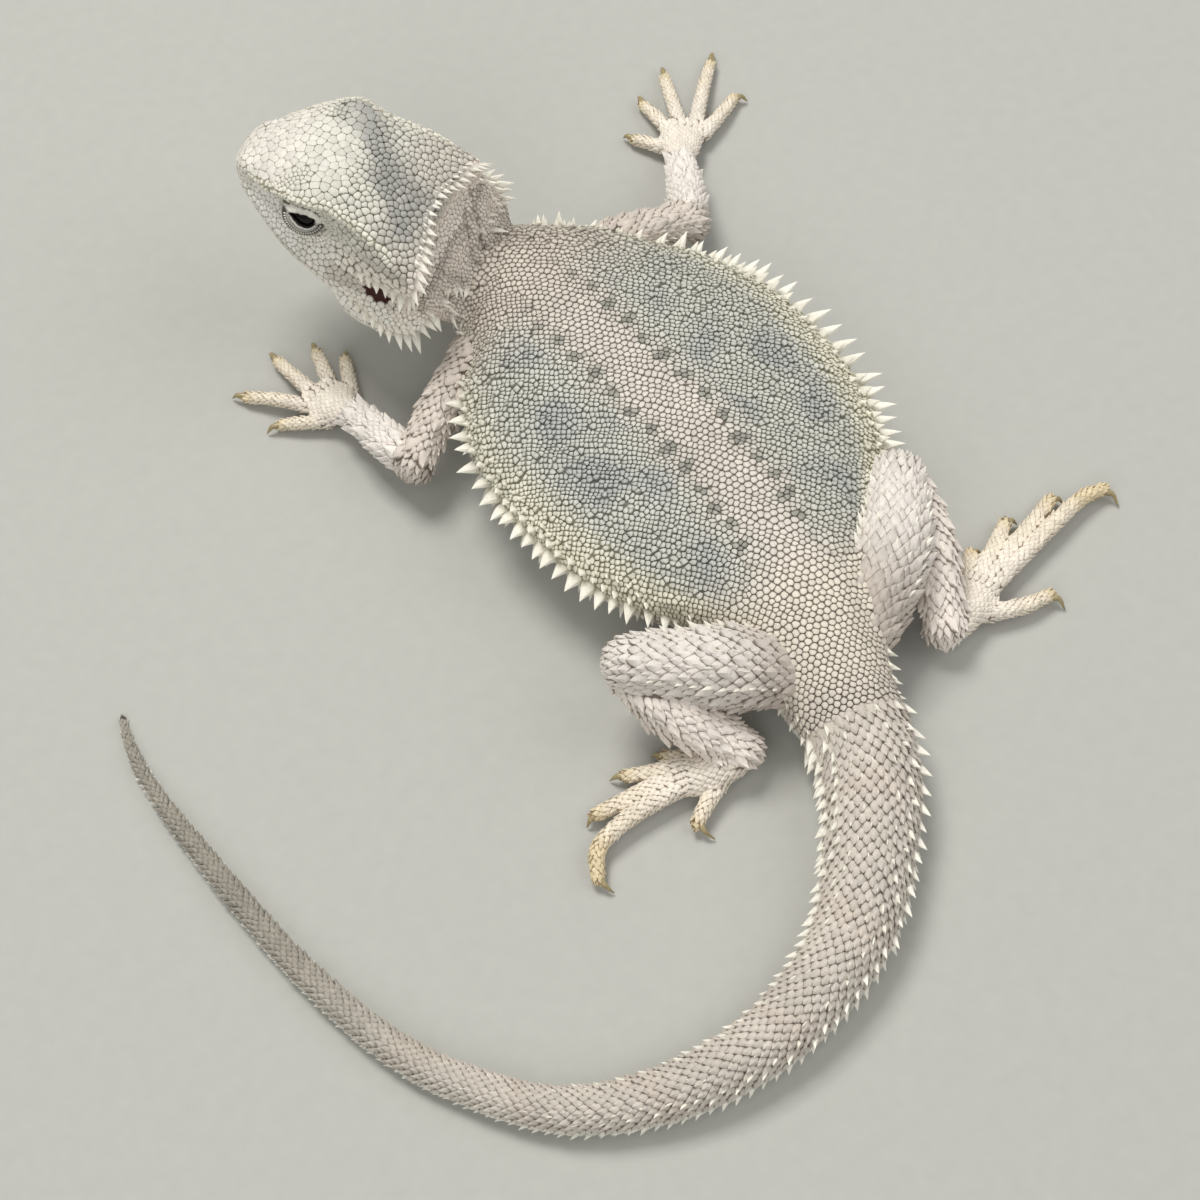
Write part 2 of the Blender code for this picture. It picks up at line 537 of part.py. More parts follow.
FORMS = {
    "trunk": Loft(TRUNK),
    "neck": neck_form(),
    "upper_arm_left": Loft(UPPER_ARM_LEFT, round_end=True),
    "forearm_left": Loft(FOREARM_LEFT, round_start=True),
    "upper_arm_right": Loft(UPPER_ARM_RIGHT, round_end=True),
    "forearm_right": Loft(FOREARM_RIGHT, round_start=True),
    "thigh_left": Loft(THIGH_LEFT, round_start=True, round_end=True),
    "shank_left": Loft(SHANK_LEFT, round_start=True, round_end=True),
    "thigh_right": Loft(THIGH_RIGHT, round_start=True, round_end=True),
    "shank_right": Loft(SHANK_RIGHT, round_start=True, round_end=True),
}


def limb(name):
    form = FORMS[name]
    return wrap(name, form.rings(0, form.last, LIMB_RINGS, LIMB_SIDES))


def digit_loft(points, root, tip):
    """The flesh of one digit, from its root to where the claw starts."""
    flesh = points[:-1]
    rows = []
    for index, (x, y, z) in enumerate(flesh):
        size = root + (tip - root) * index / (len(flesh) - 1)
        rows.append((x, y, z, size, size * 0.9))
    return Loft(rows, round_end=True)


def extremity(name, palm, digits, root, tip):
    """A hand or foot: the palm joined with its five digits."""
    base = Loft(palm, round_start=name.startswith("foot"), round_end=True)
    node = wrap(name, base.rings(0, base.last, PALM_RINGS, PALM_SIDES))
    pieces = []
    for points in digits:
        form = digit_loft(points, root, tip)
        pieces.append(wrap(name + "_digit", form.rings(0, form.last, 2 * form.last, DIGIT_SIDES)))
    join_all(node, pieces)
    return node


def claw(name, points):
    """A claw that leaves the digit's end and curves down to the floor."""
    end = np.array(points[-2], float)
    point = np.array(points[-1], float)
    before = np.array(points[-3], float)
    forward = end - before
    forward /= np.linalg.norm(forward)
    start = end - forward * CLAW_SUNK
    middle = (start + point) / 2 + np.array((0.0, 0.0, CLAW_ARCH)) + forward * CLAW_REACH
    places = ((start, CLAW_ROOT), (middle, CLAW_MIDDLE), (point, CLAW_TIP))
    form = Loft([(*place, size, size) for place, size in places])
    return wrap(name, form.rings(0, form.last, CLAW_RINGS, CLAW_SIDES))


def head_matrix():
    return Matrix.Translation(placed(HEAD_PLACE)) @ head_turn().to_4x4()


def ease(value, low, high):
    """0 before low, 1 past high, smooth between."""
    t = min(max((value - low) / (high - low), 0.0), 1.0)
    return t * t * (3 - 2 * t)


def sweep(f, y, z):
    """How far back a point of the head lies for the swept corners of the crest."""
    return CREST_SWEEP * ease(f, *CREST_FORWARD) * ease(z, *CREST_UP) * (y / CREST_SIDE) ** 2


def head_ring(station):
    """Points round the head there, from the crown down the left side and back up the right."""
    f, crown, brow_y, brow_z, eye_y, eye_z, lip_y, lip_z, jaw_y, jaw_z, throat = hermite(HEAD_RAILS, station)
    side = [(brow_y, brow_z), (eye_y, eye_z), (lip_y, lip_z), (jaw_y, jaw_z)]
    rails = np.array([(0.0, crown), *side, (0.0, throat), *[(-y, z) for y, z in reversed(side)]])
    count = len(rails)
    chord = np.linalg.norm(rails - np.roll(rails, 1, axis=0), axis=1)     # from the rail before
    after = np.roll(chord, -1)
    before_slope = (rails - np.roll(rails, 1, axis=0)) / chord[:, None]
    after_slope = (np.roll(rails, -1, axis=0) - rails) / after[:, None]
    slope = (before_slope * after[:, None] + after_slope * chord[:, None]) / (chord + after)[:, None]
    points = []
    steps = [*HEAD_STEPS, *reversed(HEAD_STEPS)]
    for index, parts in enumerate(steps):
        a, b = rails[index], rails[(index + 1) % count]
        da, db = slope[index] * after[index], slope[(index + 1) % count] * after[index]
        for part in range(parts):
            t = part / parts
            y, z = (
                a * (2 * t**3 - 3 * t**2 + 1)
                + da * (t**3 - 2 * t**2 + t)
                + b * (3 * t**2 - 2 * t**3)
                + db * (t**3 - t**2)
            )
            points.append(np.array((f - sweep(f, y, z), y, z)))
    return points


def head_point(point):
    return Vector(point) * MM


def head_form(name, grow=0.0):
    """The whole head, jaw included, in its own axes, or larger all round by grow."""
    last = len(HEAD_RAILS) - 1
    rings = [head_ring(station) for station in np.linspace(0, last, HEAD_RINGS)]
    node = wrap(name, rings, head_point)
    if grow:
        swell(node, grow)
    return node


def swell(node, grow):
    """Moves each point of a smooth form out along its normal."""
    bm = bmesh.new()
    bm.from_mesh(node.data)
    bm.normal_update()
    moves = [(vert, vert.normal * grow * MM) for vert in bm.verts]
    for vert, move in moves:
        vert.co += move
    bm.to_mesh(node.data)
    bm.free()


def ball(name, centre, size, parent, around=LID_PARTS[0], rows=LID_PARTS[1]):
    """An ellipsoid in the head's axes."""
    bm = bmesh.new()
    scale = Matrix.Diagonal((*[s * MM for s in size], 1.0))
    bmesh.ops.create_uvsphere(bm, u_segments=around, v_segments=rows, radius=1.0, matrix=scale)
    bmesh.ops.rotate(bm, verts=bm.verts, cent=(0, 0, 0), matrix=Matrix.Rotation(math.radians(90), 3, "X"))
    bmesh.ops.translate(bm, verts=bm.verts, vec=Vector(centre) * MM)
    mesh = bpy.data.meshes.new(name)
    bm.to_mesh(mesh)
    bm.free()
    node = bpy.data.objects.new(name, mesh)
    bpy.context.scene.collection.objects.link(node)
    node.parent = parent
    return node


def mouth_slab(name):
    """The thin sheet along the line of the mouth, as wide as the head and more."""
    bm = bmesh.new()
    half = GAP / 2
    above = [bm.verts.new(Vector((f, -MOUTH_HALF_WIDTH, z + half)) * MM) for f, z in MOUTH_LINE]
    below = [bm.verts.new(Vector((f, -MOUTH_HALF_WIDTH, z - half)) * MM) for f, z in MOUTH_LINE]
    side = bm.faces.new([*above, *reversed(below)])
    made = bmesh.ops.extrude_face_region(bm, geom=[side])
    moved = [g for g in made["geom"] if isinstance(g, bmesh.types.BMVert)]
    bmesh.ops.translate(bm, verts=moved, vec=Vector((0, 2 * MOUTH_HALF_WIDTH, 0)) * MM)
    bmesh.ops.recalc_face_normals(bm, faces=bm.faces)
    mesh = bpy.data.meshes.new(name)
    bm.to_mesh(mesh)
    bm.free()
    node = bpy.data.objects.new(name, mesh)
    bpy.context.scene.collection.objects.link(node)
    return node


def split_head(whole):
    """Parts the head along the line of the mouth: the upper part stays, the lower is returned."""
    slab = mouth_slab("mouth_line")
    slab.parent = whole.parent
    lower = bpy.data.objects.new("lower_jaw", whole.data.copy())
    bpy.context.scene.collection.objects.link(lower)
    lower.parent = whole.parent
    for node, upper in ((whole, True), (lower, False)):
        cut = node.modifiers.new("Mouth", "BOOLEAN")
        cut.operation = "DIFFERENCE"
        cut.object = slab
        settle(node)
        keep_side(node, upper)
    remove(slab)
    return lower


def keep_side(node, upper):
    """Keeps the closed surface that reaches highest, or lowest, in the head's axes."""
    pick = max if upper else min
    keep_island(node, lambda bm: joined_to(pick(bm.verts, key=lambda v: v.co.z)))


def mirrored(place):
    return (place, (place[0], -place[1], place[2]))


def slit(name, centre, sign, parent):
    """The opening between the lids: a lens-shaped plug through the lid."""
    bm = bmesh.new()
    made = bmesh.ops.create_circle(bm, cap_ends=True, segments=SLIT_SIDES, radius=1.0)
    for vert in made["verts"]:
        across, tall = vert.co.x, vert.co.y
        vert.co = Vector((centre[0] + LID_SLIT[0] * across, centre[1], centre[2] + LID_SLIT[1] * tall)) * MM
    grown = bmesh.ops.extrude_face_region(bm, geom=list(bm.faces))
    moved = [g for g in grown["geom"] if isinstance(g, bmesh.types.BMVert)]
    bmesh.ops.translate(bm, verts=moved, vec=Vector((0, sign * 2 * LID_SIZE, 0)) * MM)
    bmesh.ops.recalc_face_normals(bm, faces=bm.faces)
    mesh = bpy.data.meshes.new(name)
    bm.to_mesh(mesh)
    bm.free()
    node = bpy.data.objects.new(name, mesh)
    bpy.context.scene.collection.objects.link(node)
    node.parent = parent
    return node


def build_head(place):
    """Head, lower jaw and eyes, parented to the head's place."""
    head = head_form("head")
    head.parent = place
    lids = [ball("lid", centre, (LID_SIZE,) * 3, place) for centre in mirrored(EYE_PLACE)]
    join_all(head, lids)
    cuts = []
    for sign, centre in zip((1, -1), mirrored(EYE_PLACE)):
        cuts.append(ball("socket", centre, (EYE_SIZE + GAP,) * 3, place))
        cuts.append(slit("slit", centre, sign, place))
    for centre in mirrored(EAR_PLACE):
        cuts.append(ball("ear_cup", centre, EAR_SIZE, place, *CUP_PARTS))
    for centre in mirrored(NOSTRIL_PLACE):
        cuts.append(ball("nostril", centre, NOSTRIL_SIZE, place, *CUP_PARTS))
    boolean(head, cuts, "DIFFERENCE")
    jaw = split_head(head)
    made = {"head": head, "lower_jaw": jaw}
    for side, centre in zip(("left", "right"), mirrored(EYE_PLACE)):
        made["eye_" + side] = ball("eye_" + side, centre, (EYE_SIZE,) * 3, place, *EYE_PARTS)
    return made


def cutter(name):
    """A limb or the neck, larger all round by the gap."""
    form = FORMS[name]
    count, sides = (NECK_RINGS, NECK_SIDES) if name == "neck" else (LIMB_RINGS, LIMB_SIDES)
    return wrap("grown_" + name, form.rings(0, form.last, count, sides, GAP))


def trunk_cutter(name):
    return wrap("grown_" + name, trunk_rings(name, GAP))


def head_cutter(place):
    form = head_form("grown_head", GAP)
    form.parent = place
    return form


def build_neck(place):
    form = FORMS["neck"]
    neck = wrap("neck", form.rings(0, form.last, NECK_RINGS, NECK_SIDES))
    boolean(neck, [trunk_cutter("torso"), head_cutter(place)], "DIFFERENCE")
    return {"neck": neck}


def build_limbs(side):
    """Arm and leg of one side, each cut clear of what it grows from."""
    arm, forearm, thigh, shank = (name + side for name in ("upper_arm_", "forearm_", "thigh_", "shank_"))
    made = {name: limb(name) for name in (arm, forearm, thigh, shank)}
    boolean(made[arm], [trunk_cutter("torso"), cutter("neck")], "DIFFERENCE")
    boolean(made[forearm], [cutter(arm)], "DIFFERENCE")
    boolean(made[thigh], [trunk_cutter("torso"), trunk_cutter("hips")], "DIFFERENCE")
    boolean(made[shank], [cutter(thigh), trunk_cutter("torso"), trunk_cutter("hips")], "DIFFERENCE")
    return made


def build_end(name, palm, digits, root, tip, neighbour):
    """A hand or foot and its claws."""
    made = {name: extremity(name, palm, digits, root, tip)}
    boolean(made[name], [cutter(neighbour)], "DIFFERENCE")
    for index, points in enumerate(digits):
        label = f"claw_{name}_{index + 1}"
        flesh = digit_loft(points, root, tip)
        sleeve = wrap("grown_digit", flesh.rings(0, flesh.last, 2 * flesh.last, DIGIT_SIDES, GAP))
        made[label] = claw(label, points)
        boolean(made[label], [sleeve], "DIFFERENCE")
    return made


def tree_of(node):
    """A node's surface in world space, for distances and crossings."""
    bm = bmesh.new()
    bm.from_mesh(node.data)
    bm.transform(node.matrix_world)
    tree = BVHTree.FromBMesh(bm)
    bm.free()
    return tree


def spine(root, lean, flat, length, width):
    """One spine from a place on the skin, in metres: its wide side lies along flat, its root is sunk."""
    out = lean.normalized()
    across = (flat - out * flat.dot(out)).normalized()
    sunk = SPINE_ROOT * MM
    tall = length + sunk
    wide = width * tall / length
    turn = Matrix((across, out.cross(across), out)).transposed().to_4x4()
    size = Matrix.Diagonal((wide, wide * SPINE_FLAT, tall, 1.0))
    move = Matrix.Translation(root + out * (tall / 2 - sunk))
    bm = bmesh.new()
    bmesh.ops.create_cone(
        bm, cap_ends=True, segments=4, radius1=0.5, radius2=0.0, depth=1.0, matrix=move @ turn @ size
    )
    mesh = bpy.data.meshes.new("spine")
    bm.to_mesh(mesh)
    bm.free()
    piece = bpy.data.objects.new("spine", mesh)
    bpy.context.scene.collection.objects.link(piece)
    return piece


def is_clear(piece, trees):
    """Whether a spine keeps its distance to every tree, and to the floor."""
    corners = [vert.co.copy() for vert in piece.data.vertices]
    tip = corners.pop(max(range(len(corners)), key=lambda k: sum((corners[k] - c).length for c in corners)))
    if tip.z < SPINE_LOWEST * MM:
        return False
    places = [corner.lerp(tip, share) for corner in corners for share in SPINE_TESTS]
    own = tree_of(piece)
    for tree in trees:
        if tree.overlap(own):
            return False
        if any(tree.find_nearest(place, SPINE_CLEAR * MM)[0] for place in places):
            return False
    return True


def set_spines(node, seats, trees):
    """Joins to a node the spines that stay clear of the others, shortened where they must be."""
    own = trees[node.name]
    others = [tree for name, tree in trees.items() if name != node.name]
    pieces = []
    for root, lean, flat, length, width in seats:
        if own.find_nearest(root)[3] > SPINE_SEAT * MM:
            continue
        for share in SPINE_TRIES:
            piece = spine(root, lean, flat, length * share * MM, width * (1 + share) / 2 * MM)
            if is_clear(piece, others):
                pieces.append(piece)
                break
            remove(piece)
    if pieces:
        join_all(node, pieces)
    return len(pieces)


def seat(form, station, angle, length, width, out, along, rise):
    """Root, lean, flat side, length and width of a spine on a flesh form."""
    normal = form.normal(station, angle)
    tangent = form.frame(station)[3]
    lean = normal * out + tangent * along + np.array((0.0, 0.0, rise))
    flat = tangent if along < 0.5 else np.cross(tangent, normal)
    return placed(form.section(station, angle)), Vector(lean), Vector(flat), length, width


def row_seats(form, rows, draw):
    """Spines in rows, longest half way along a row."""
    for first, first_angle, last, last_angle, count, length, width, out, along, rise in rows:
        for index in range(count):
            share = index / (count - 1)
            station = first + (last - first) * share
            angle = math.radians(first_angle + (last_angle - first_angle) * share + draw.uniform(-2.0, 2.0))
            size = (0.76 + 0.24 * math.sin(math.pi * share)) * draw.uniform(0.88, 1.1)
            yield seat(form, station, angle, length * size, width * size, out, along, rise)


def ring_seats(form, first, last, rings, most, draw):
    """Spines in rings over the back and sides, largest at the sides, one fewer in every second ring."""
    for ring in range(rings):
        station = first + (last - first) * ring / (rings - 1)
        half_width = form.frame(station)[4][0]
        count = most - ring % 2
        reach = TAIL_SPREAD * (count - 1) / (most - 1)
        for index in range(count):
            turn = reach * (2 * index / (count - 1) - 1) if count > 1 else 0.0
            angle = math.radians(90.0 + turn)
            size = (0.72 + 0.28 * abs(math.cos(angle))) * draw.uniform(0.9, 1.1)
            length = (TAIL_SPINE_LENGTH[0] + TAIL_SPINE_LENGTH[1] * half_width) * size
            width = (TAIL_SPINE_WIDTH[0] + TAIL_SPINE_WIDTH[1] * half_width) * size
            yield seat(form, station, angle, length, width, 1.0, 1.0 - 0.35 * abs(math.cos(angle)), 0.0)


def head_seats(label, tree, matrix, draw):
    """Spines in rows on head or jaw, each set on the nearest skin, on both sides."""
    turn = matrix.to_3x3()
    for name, first, last, count, short, long, width, lean in HEAD_ROWS:
        if name != label:
            continue
        for side in (1, -1):
            flip = Matrix.Diagonal((1.0, side, 1.0))
            for index in range(count):
                share = index / (count - 1)
                place = flip @ Vector(first).lerp(Vector(last), share) * MM
                root, normal, _, _ = tree.find_nearest(matrix @ place)
                towards = normal + turn @ (flip @ Vector(lean))
                flat = towards.cross(turn @ Vector((0, 0, 1)))
                size = draw.uniform(0.9, 1.08)
                yield root, towards, flat, (short + (long - short) * share) * size, width * size


def dress(nodes, matrix):
    """Gives each node its spines."""
    draw = random.Random(SPINE_SEED)
    bpy.context.view_layer.update()
    trees = {name: tree_of(node) for name, node in nodes.items()}
    rings = {row[0]: row[1:] for row in TAIL_RINGS}
    for name, node in nodes.items():
        form = FORMS.get(name, FORMS["trunk"])
        if name in SPINE_ROWS:
            seats = row_seats(form, SPINE_ROWS[name], draw)
        elif name in rings:
            seats = ring_seats(form, *rings[name], draw)
        elif name in ("head", "lower_jaw"):
            seats = head_seats(name, trees[name], matrix, draw)
        else:
            continue
        set_spines(node, list(seats), trees)
        trees[name] = tree_of(node)


def kind_of(name):
    if name.startswith("claw"):
        return "claw_horn"
    if name.startswith("eye"):
        return "eye_dark"
    return "scales_grey" if name in ("torso", "hips", "neck") else "scales_pale"


def main():
    for old in list(bpy.data.objects):
        bpy.data.objects.remove(old)
    place = bpy.data.objects.new("head_place", None)
    bpy.context.scene.collection.objects.link(place)
    place.matrix_world = head_matrix()
    nodes = build_head(place)
    nodes.update(build_neck(place))
    nodes.update({row[0]: wrap(row[0], trunk_rings(row[0])) for row in TRUNK_NODES})
    for side in ("left", "right"):
        nodes.update(build_limbs(side))
    for row in ENDS:
        nodes.update(build_end(*row))
    dress(nodes, place.matrix_world)
    for name, node in nodes.items():
        finish(node, kind_of(name))


main()
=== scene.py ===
import math

import bmesh
import bpy
import numpy as np
from mathutils import Matrix, Vector
from mathutils.bvhtree import BVHTree
from mathutils.kdtree import KDTree


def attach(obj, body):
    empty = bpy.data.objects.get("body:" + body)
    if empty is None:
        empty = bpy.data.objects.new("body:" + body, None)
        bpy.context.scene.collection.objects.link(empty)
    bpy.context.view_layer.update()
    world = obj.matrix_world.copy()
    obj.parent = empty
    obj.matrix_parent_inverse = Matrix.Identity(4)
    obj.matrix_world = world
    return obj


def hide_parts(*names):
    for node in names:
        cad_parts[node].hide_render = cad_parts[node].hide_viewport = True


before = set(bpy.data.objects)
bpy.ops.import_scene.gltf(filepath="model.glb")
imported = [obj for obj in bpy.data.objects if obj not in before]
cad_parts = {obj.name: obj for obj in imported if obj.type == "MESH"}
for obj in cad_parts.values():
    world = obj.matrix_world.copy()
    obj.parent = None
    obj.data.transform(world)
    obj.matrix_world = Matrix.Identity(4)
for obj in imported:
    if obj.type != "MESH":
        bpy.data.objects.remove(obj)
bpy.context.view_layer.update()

# Bearded dragon at rest, head toward -Y, its left side toward +X. Tables are millimetres and degrees.
mm = 0.001
middle = np.array((-2.492, -3.497, 0.0))     # middle of the object's box, in the tables' millimetres
print("frame loaded:", len(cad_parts), "nodes")


# flesh: one row of stations for each form

# x, y, height of the side edge, half width left and right, rise to the back, drop to the belly
trunkSizes = {
    "stations": (
        (-18.4, -84.2, 20.0, 15.0, 17.0, 10.0, 11.0),
        (-22.6, -77.4, 19.0, 19.5, 23.5, 12.0, 13.0),
        (-26.4, -67.5, 18.5, 27.5, 32.0, 13.0, 15.0),
        (-28.7, -55.0, 18.5, 36.0, 41.5, 13.5, 17.5),
        (-30.5, -41.7, 18.5, 42.0, 47.0, 13.5, 20.0),
        (-32.6, -27.8, 18.5, 44.2, 48.5, 13.5, 21.0),
        (-34.0, -13.2, 18.5, 43.8, 47.5, 13.5, 21.0),
        (-34.3, 1.0, 18.5, 41.2, 44.5, 13.5, 21.0),
        (-34.3, 12.0, 18.0, 36.5, 39.0, 13.5, 20.5),
        (-34.0, 24.0, 17.0, 28.0, 29.0, 13.5, 19.5),
        (-32.7, 35.2, 15.5, 20.5, 21.0, 13.5, 17.5),
        (-30.4, 46.4, 13.5, 16.0, 16.5, 13.0, 15.0),
        (-28.6, 57.0, 11.5, 13.5, 14.0, 12.0, 12.8),
        (-26.6, 69.0, 10.3, 11.8, 12.0, 10.6, 11.2),
        (-20.5, 81.9, 9.5, 10.9, 11.1, 9.8, 10.2),
        (-4.3, 100.7, 8.1, 9.6, 9.6, 8.4, 8.8),
        (12.2, 110.8, 7.1, 8.3, 8.3, 7.3, 7.7),
        (33.7, 115.7, 6.2, 7.1, 7.1, 6.3, 6.7),
        (55.8, 113.7, 5.4, 6.1, 6.1, 5.5, 5.8),
        (75.9, 105.0, 4.5, 5.0, 5.0, 4.5, 4.8),
        (90.3, 89.4, 3.7, 4.2, 4.2, 3.8, 4.0),
        (100.7, 70.8, 3.2, 3.6, 3.6, 3.2, 3.4),
        (108.2, 44.2, 2.7, 3.0, 3.0, 2.7, 2.9),
        (112.6, 12.9, 2.2, 2.5, 2.5, 2.2, 2.4),
        (114.8, -14.5, 1.4, 1.6, 1.6, 1.4, 1.6),
        (113.4, -28.7, 0.9, 1.0, 1.0, 0.9, 1.0),
        (111.5, -34.0, 0.6, 0.6, 0.6, 0.6, 0.7),
    ),
    "tail": 12.6,        # station where the tail starts
}

# the neck is given in the head's axes: forward, left, up, half sizes left, right, up, down
neckSizes = {
    "stations": (
        (-8.0, 0.0, -3.5, 13.5, 13.5, 8.0, 11.0),
        (-20.0, -0.5, -2.5, 17.0, 19.0, 6.0, 13.0),
        (-27.0, -2.2, -5.0, 19.0, 22.0, 4.0, 13.0),
        (-32.5, -4.0, -11.0, 18.5, 21.5, 2.8, 9.5),
        (-39.0, -5.0, -17.0, 14.0, 15.0, 3.5, 6.0),
    ),
}

# x, y, z, half width, half height
limbSizes = {
    "upper_arm_left": ((-12.0, -69.0, 19.5, 6.0, 6.0), (6.0, -60.0, 16.5, 5.4, 5.6),
                       (20.5, -51.5, 12.0, 4.8, 4.9)),
    "forearm_left": ((20.5, -51.5, 12.0, 4.9, 5.0), (22.8, -62.0, 10.5, 4.8, 4.7),
                     (24.5, -75.6, 6.8, 3.7, 3.5)),
    "upper_arm_right": ((-46.0, -77.5, 19.5, 6.0, 6.0), (-62.0, -77.0, 16.5, 5.4, 5.6),
                        (-77.0, -76.0, 12.0, 4.8, 4.9)),
    "forearm_right": ((-77.0, -76.0, 12.0, 4.9, 5.0), (-82.5, -86.0, 10.5, 4.8, 4.7),
                      (-88.7, -97.8, 6.8, 3.7, 3.5)),
    "thigh_left": ((-23.5, 47.5, 15.0, 8.5, 7.5), (-8.0, 40.5, 20.5, 9.6, 9.0),
                   (10.3, 29.0, 23.0, 6.6, 6.4)),
    "shank_left": ((10.5, 30.0, 20.0, 6.2, 6.2), (6.0, 42.0, 14.5, 6.4, 6.2), (-3.4, 55.0, 8.4, 4.6, 4.5)),
    "thigh_right": ((-43.0, 47.0, 15.0, 8.5, 7.5), (-58.0, 36.0, 20.5, 9.6, 9.0),
                    (-70.2, 21.5, 23.0, 6.6, 6.4)),
    "shank_right": ((-71.5, 22.5, 20.0, 6.2, 6.2), (-69.0, 38.0, 14.5, 6.4, 6.2),
                    (-61.8, 54.5, 8.4, 4.6, 4.5)),
}

# palm or sole, then each digit from its root to its tip with the claw's tip last
endSizes = {
    "hand_left": {
        "palm": ((24.5, -75.6, 6.2, 3.6, 3.4), (26.2, -80.5, 4.6, 5.6, 3.2), (27.2, -85.5, 3.4, 6.3, 2.7)),
        "digits": (
            ((21.5, -81.5, 3.4), (18.6, -88.5, 2.9), (16.6, -93.6, 2.2), (14.6, -95.6, 0.7)),
            ((24.5, -86.0, 3.2), (23.0, -93.0, 3.4), (21.6, -99.4, 2.2), (20.9, -103.2, 0.7)),
            ((28.5, -87.0, 3.2), (30.3, -95.0, 3.6), (31.3, -102.4, 2.2), (31.6, -106.4, 0.7)),
            ((30.5, -84.0, 3.2), (37.0, -90.8, 3.6), (43.4, -97.0, 2.2), (46.0, -99.6, 0.7)),
            ((28.5, -78.0, 3.4), (34.2, -81.2, 3.2), (40.3, -85.0, 2.2), (43.9, -85.4, 0.7)),
        ),
        "thick": (2.3, 1.7),
    },
    "hand_right": {
        "palm": ((-88.7, -97.8, 6.2, 3.6, 3.4), (-92.5, -103.0, 4.6, 5.6, 3.2),
                 (-96.0, -107.5, 3.4, 6.3, 2.7)),
        "digits": (
            ((-90.0, -104.5, 3.4), (-87.0, -109.8, 2.9), (-84.5, -113.6, 2.2), (-83.2, -116.6, 0.7)),
            ((-93.5, -108.5, 3.2), (-93.4, -115.5, 3.4), (-93.3, -122.2, 2.2), (-94.2, -126.2, 0.7)),
            ((-97.0, -109.5, 3.2), (-100.2, -119.0, 3.6), (-103.5, -127.2, 2.2), (-105.3, -131.4, 0.7)),
            ((-100.0, -107.5, 3.2), (-108.8, -116.5, 3.6), (-116.8, -124.5, 2.2), (-120.2, -128.2, 0.7)),
            ((-99.5, -103.5, 3.4), (-108.0, -107.2, 3.2), (-115.3, -110.8, 2.2), (-118.4, -108.9, 0.7)),
        ),
        "thick": (2.3, 1.7),
    },
    "foot_left": {
        "palm": ((-3.4, 55.0, 7.0, 4.8, 4.6), (3.0, 54.5, 5.2, 5.2, 4.2), (9.5, 52.5, 4.0, 5.4, 3.4)),
        "digits": (
            ((5.0, 50.5, 4.2), (8.3, 47.6, 3.4), (11.2, 44.6, 2.6), (13.4, 42.4, 0.7)),
            ((8.0, 50.2, 4.2), (15.0, 47.4, 3.6), (21.4, 44.0, 2.6), (24.6, 42.2, 0.7)),
            ((10.5, 51.5, 4.2), (22.0, 49.8, 3.8), (32.4, 48.6, 2.6), (35.6, 49.4, 0.7)),
            ((11.5, 54.0, 4.2), (25.0, 53.8, 4.4), (36.5, 56.0, 3.6), (40.9, 62.0, 2.4), (39.3, 66.4, 0.7)),
            ((3.0, 57.0, 4.2), (9.5, 60.2, 3.6), (14.6, 63.0, 2.8), (12.6, 67.8, 0.7)),
        ),
        "thick": (2.7, 1.9),
    },
    "foot_right": {
        "palm": ((-61.8, 54.5, 7.0, 4.8, 4.6), (-69.5, 52.5, 5.2, 5.2, 4.2), (-76.5, 49.5, 4.0, 5.4, 3.4)),
        "digits": (
            ((-71.5, 49.0, 4.2), (-77.0, 44.5, 3.4), (-81.8, 39.4, 2.6), (-84.6, 40.6, 0.7)),
            ((-76.0, 47.0, 4.2), (-86.0, 42.2, 3.6), (-94.2, 37.0, 2.6), (-97.2, 38.2, 0.7)),
            ((-78.0, 48.0, 4.2), (-93.0, 43.2, 3.8), (-107.6, 37.8, 2.6), (-110.4, 39.6, 0.7)),
            ((-78.5, 50.5, 4.2), (-98.0, 45.6, 4.4), (-113.0, 42.2, 4.0), (-120.6, 42.4, 2.6),
             (-121.4, 47.6, 0.7)),
            ((-73.0, 55.0, 4.2), (-83.0, 58.4, 3.6), (-90.8, 59.2, 2.8), (-92.2, 63.6, 0.7)),
        ),
        "thick": (2.7, 1.9),
    },
}

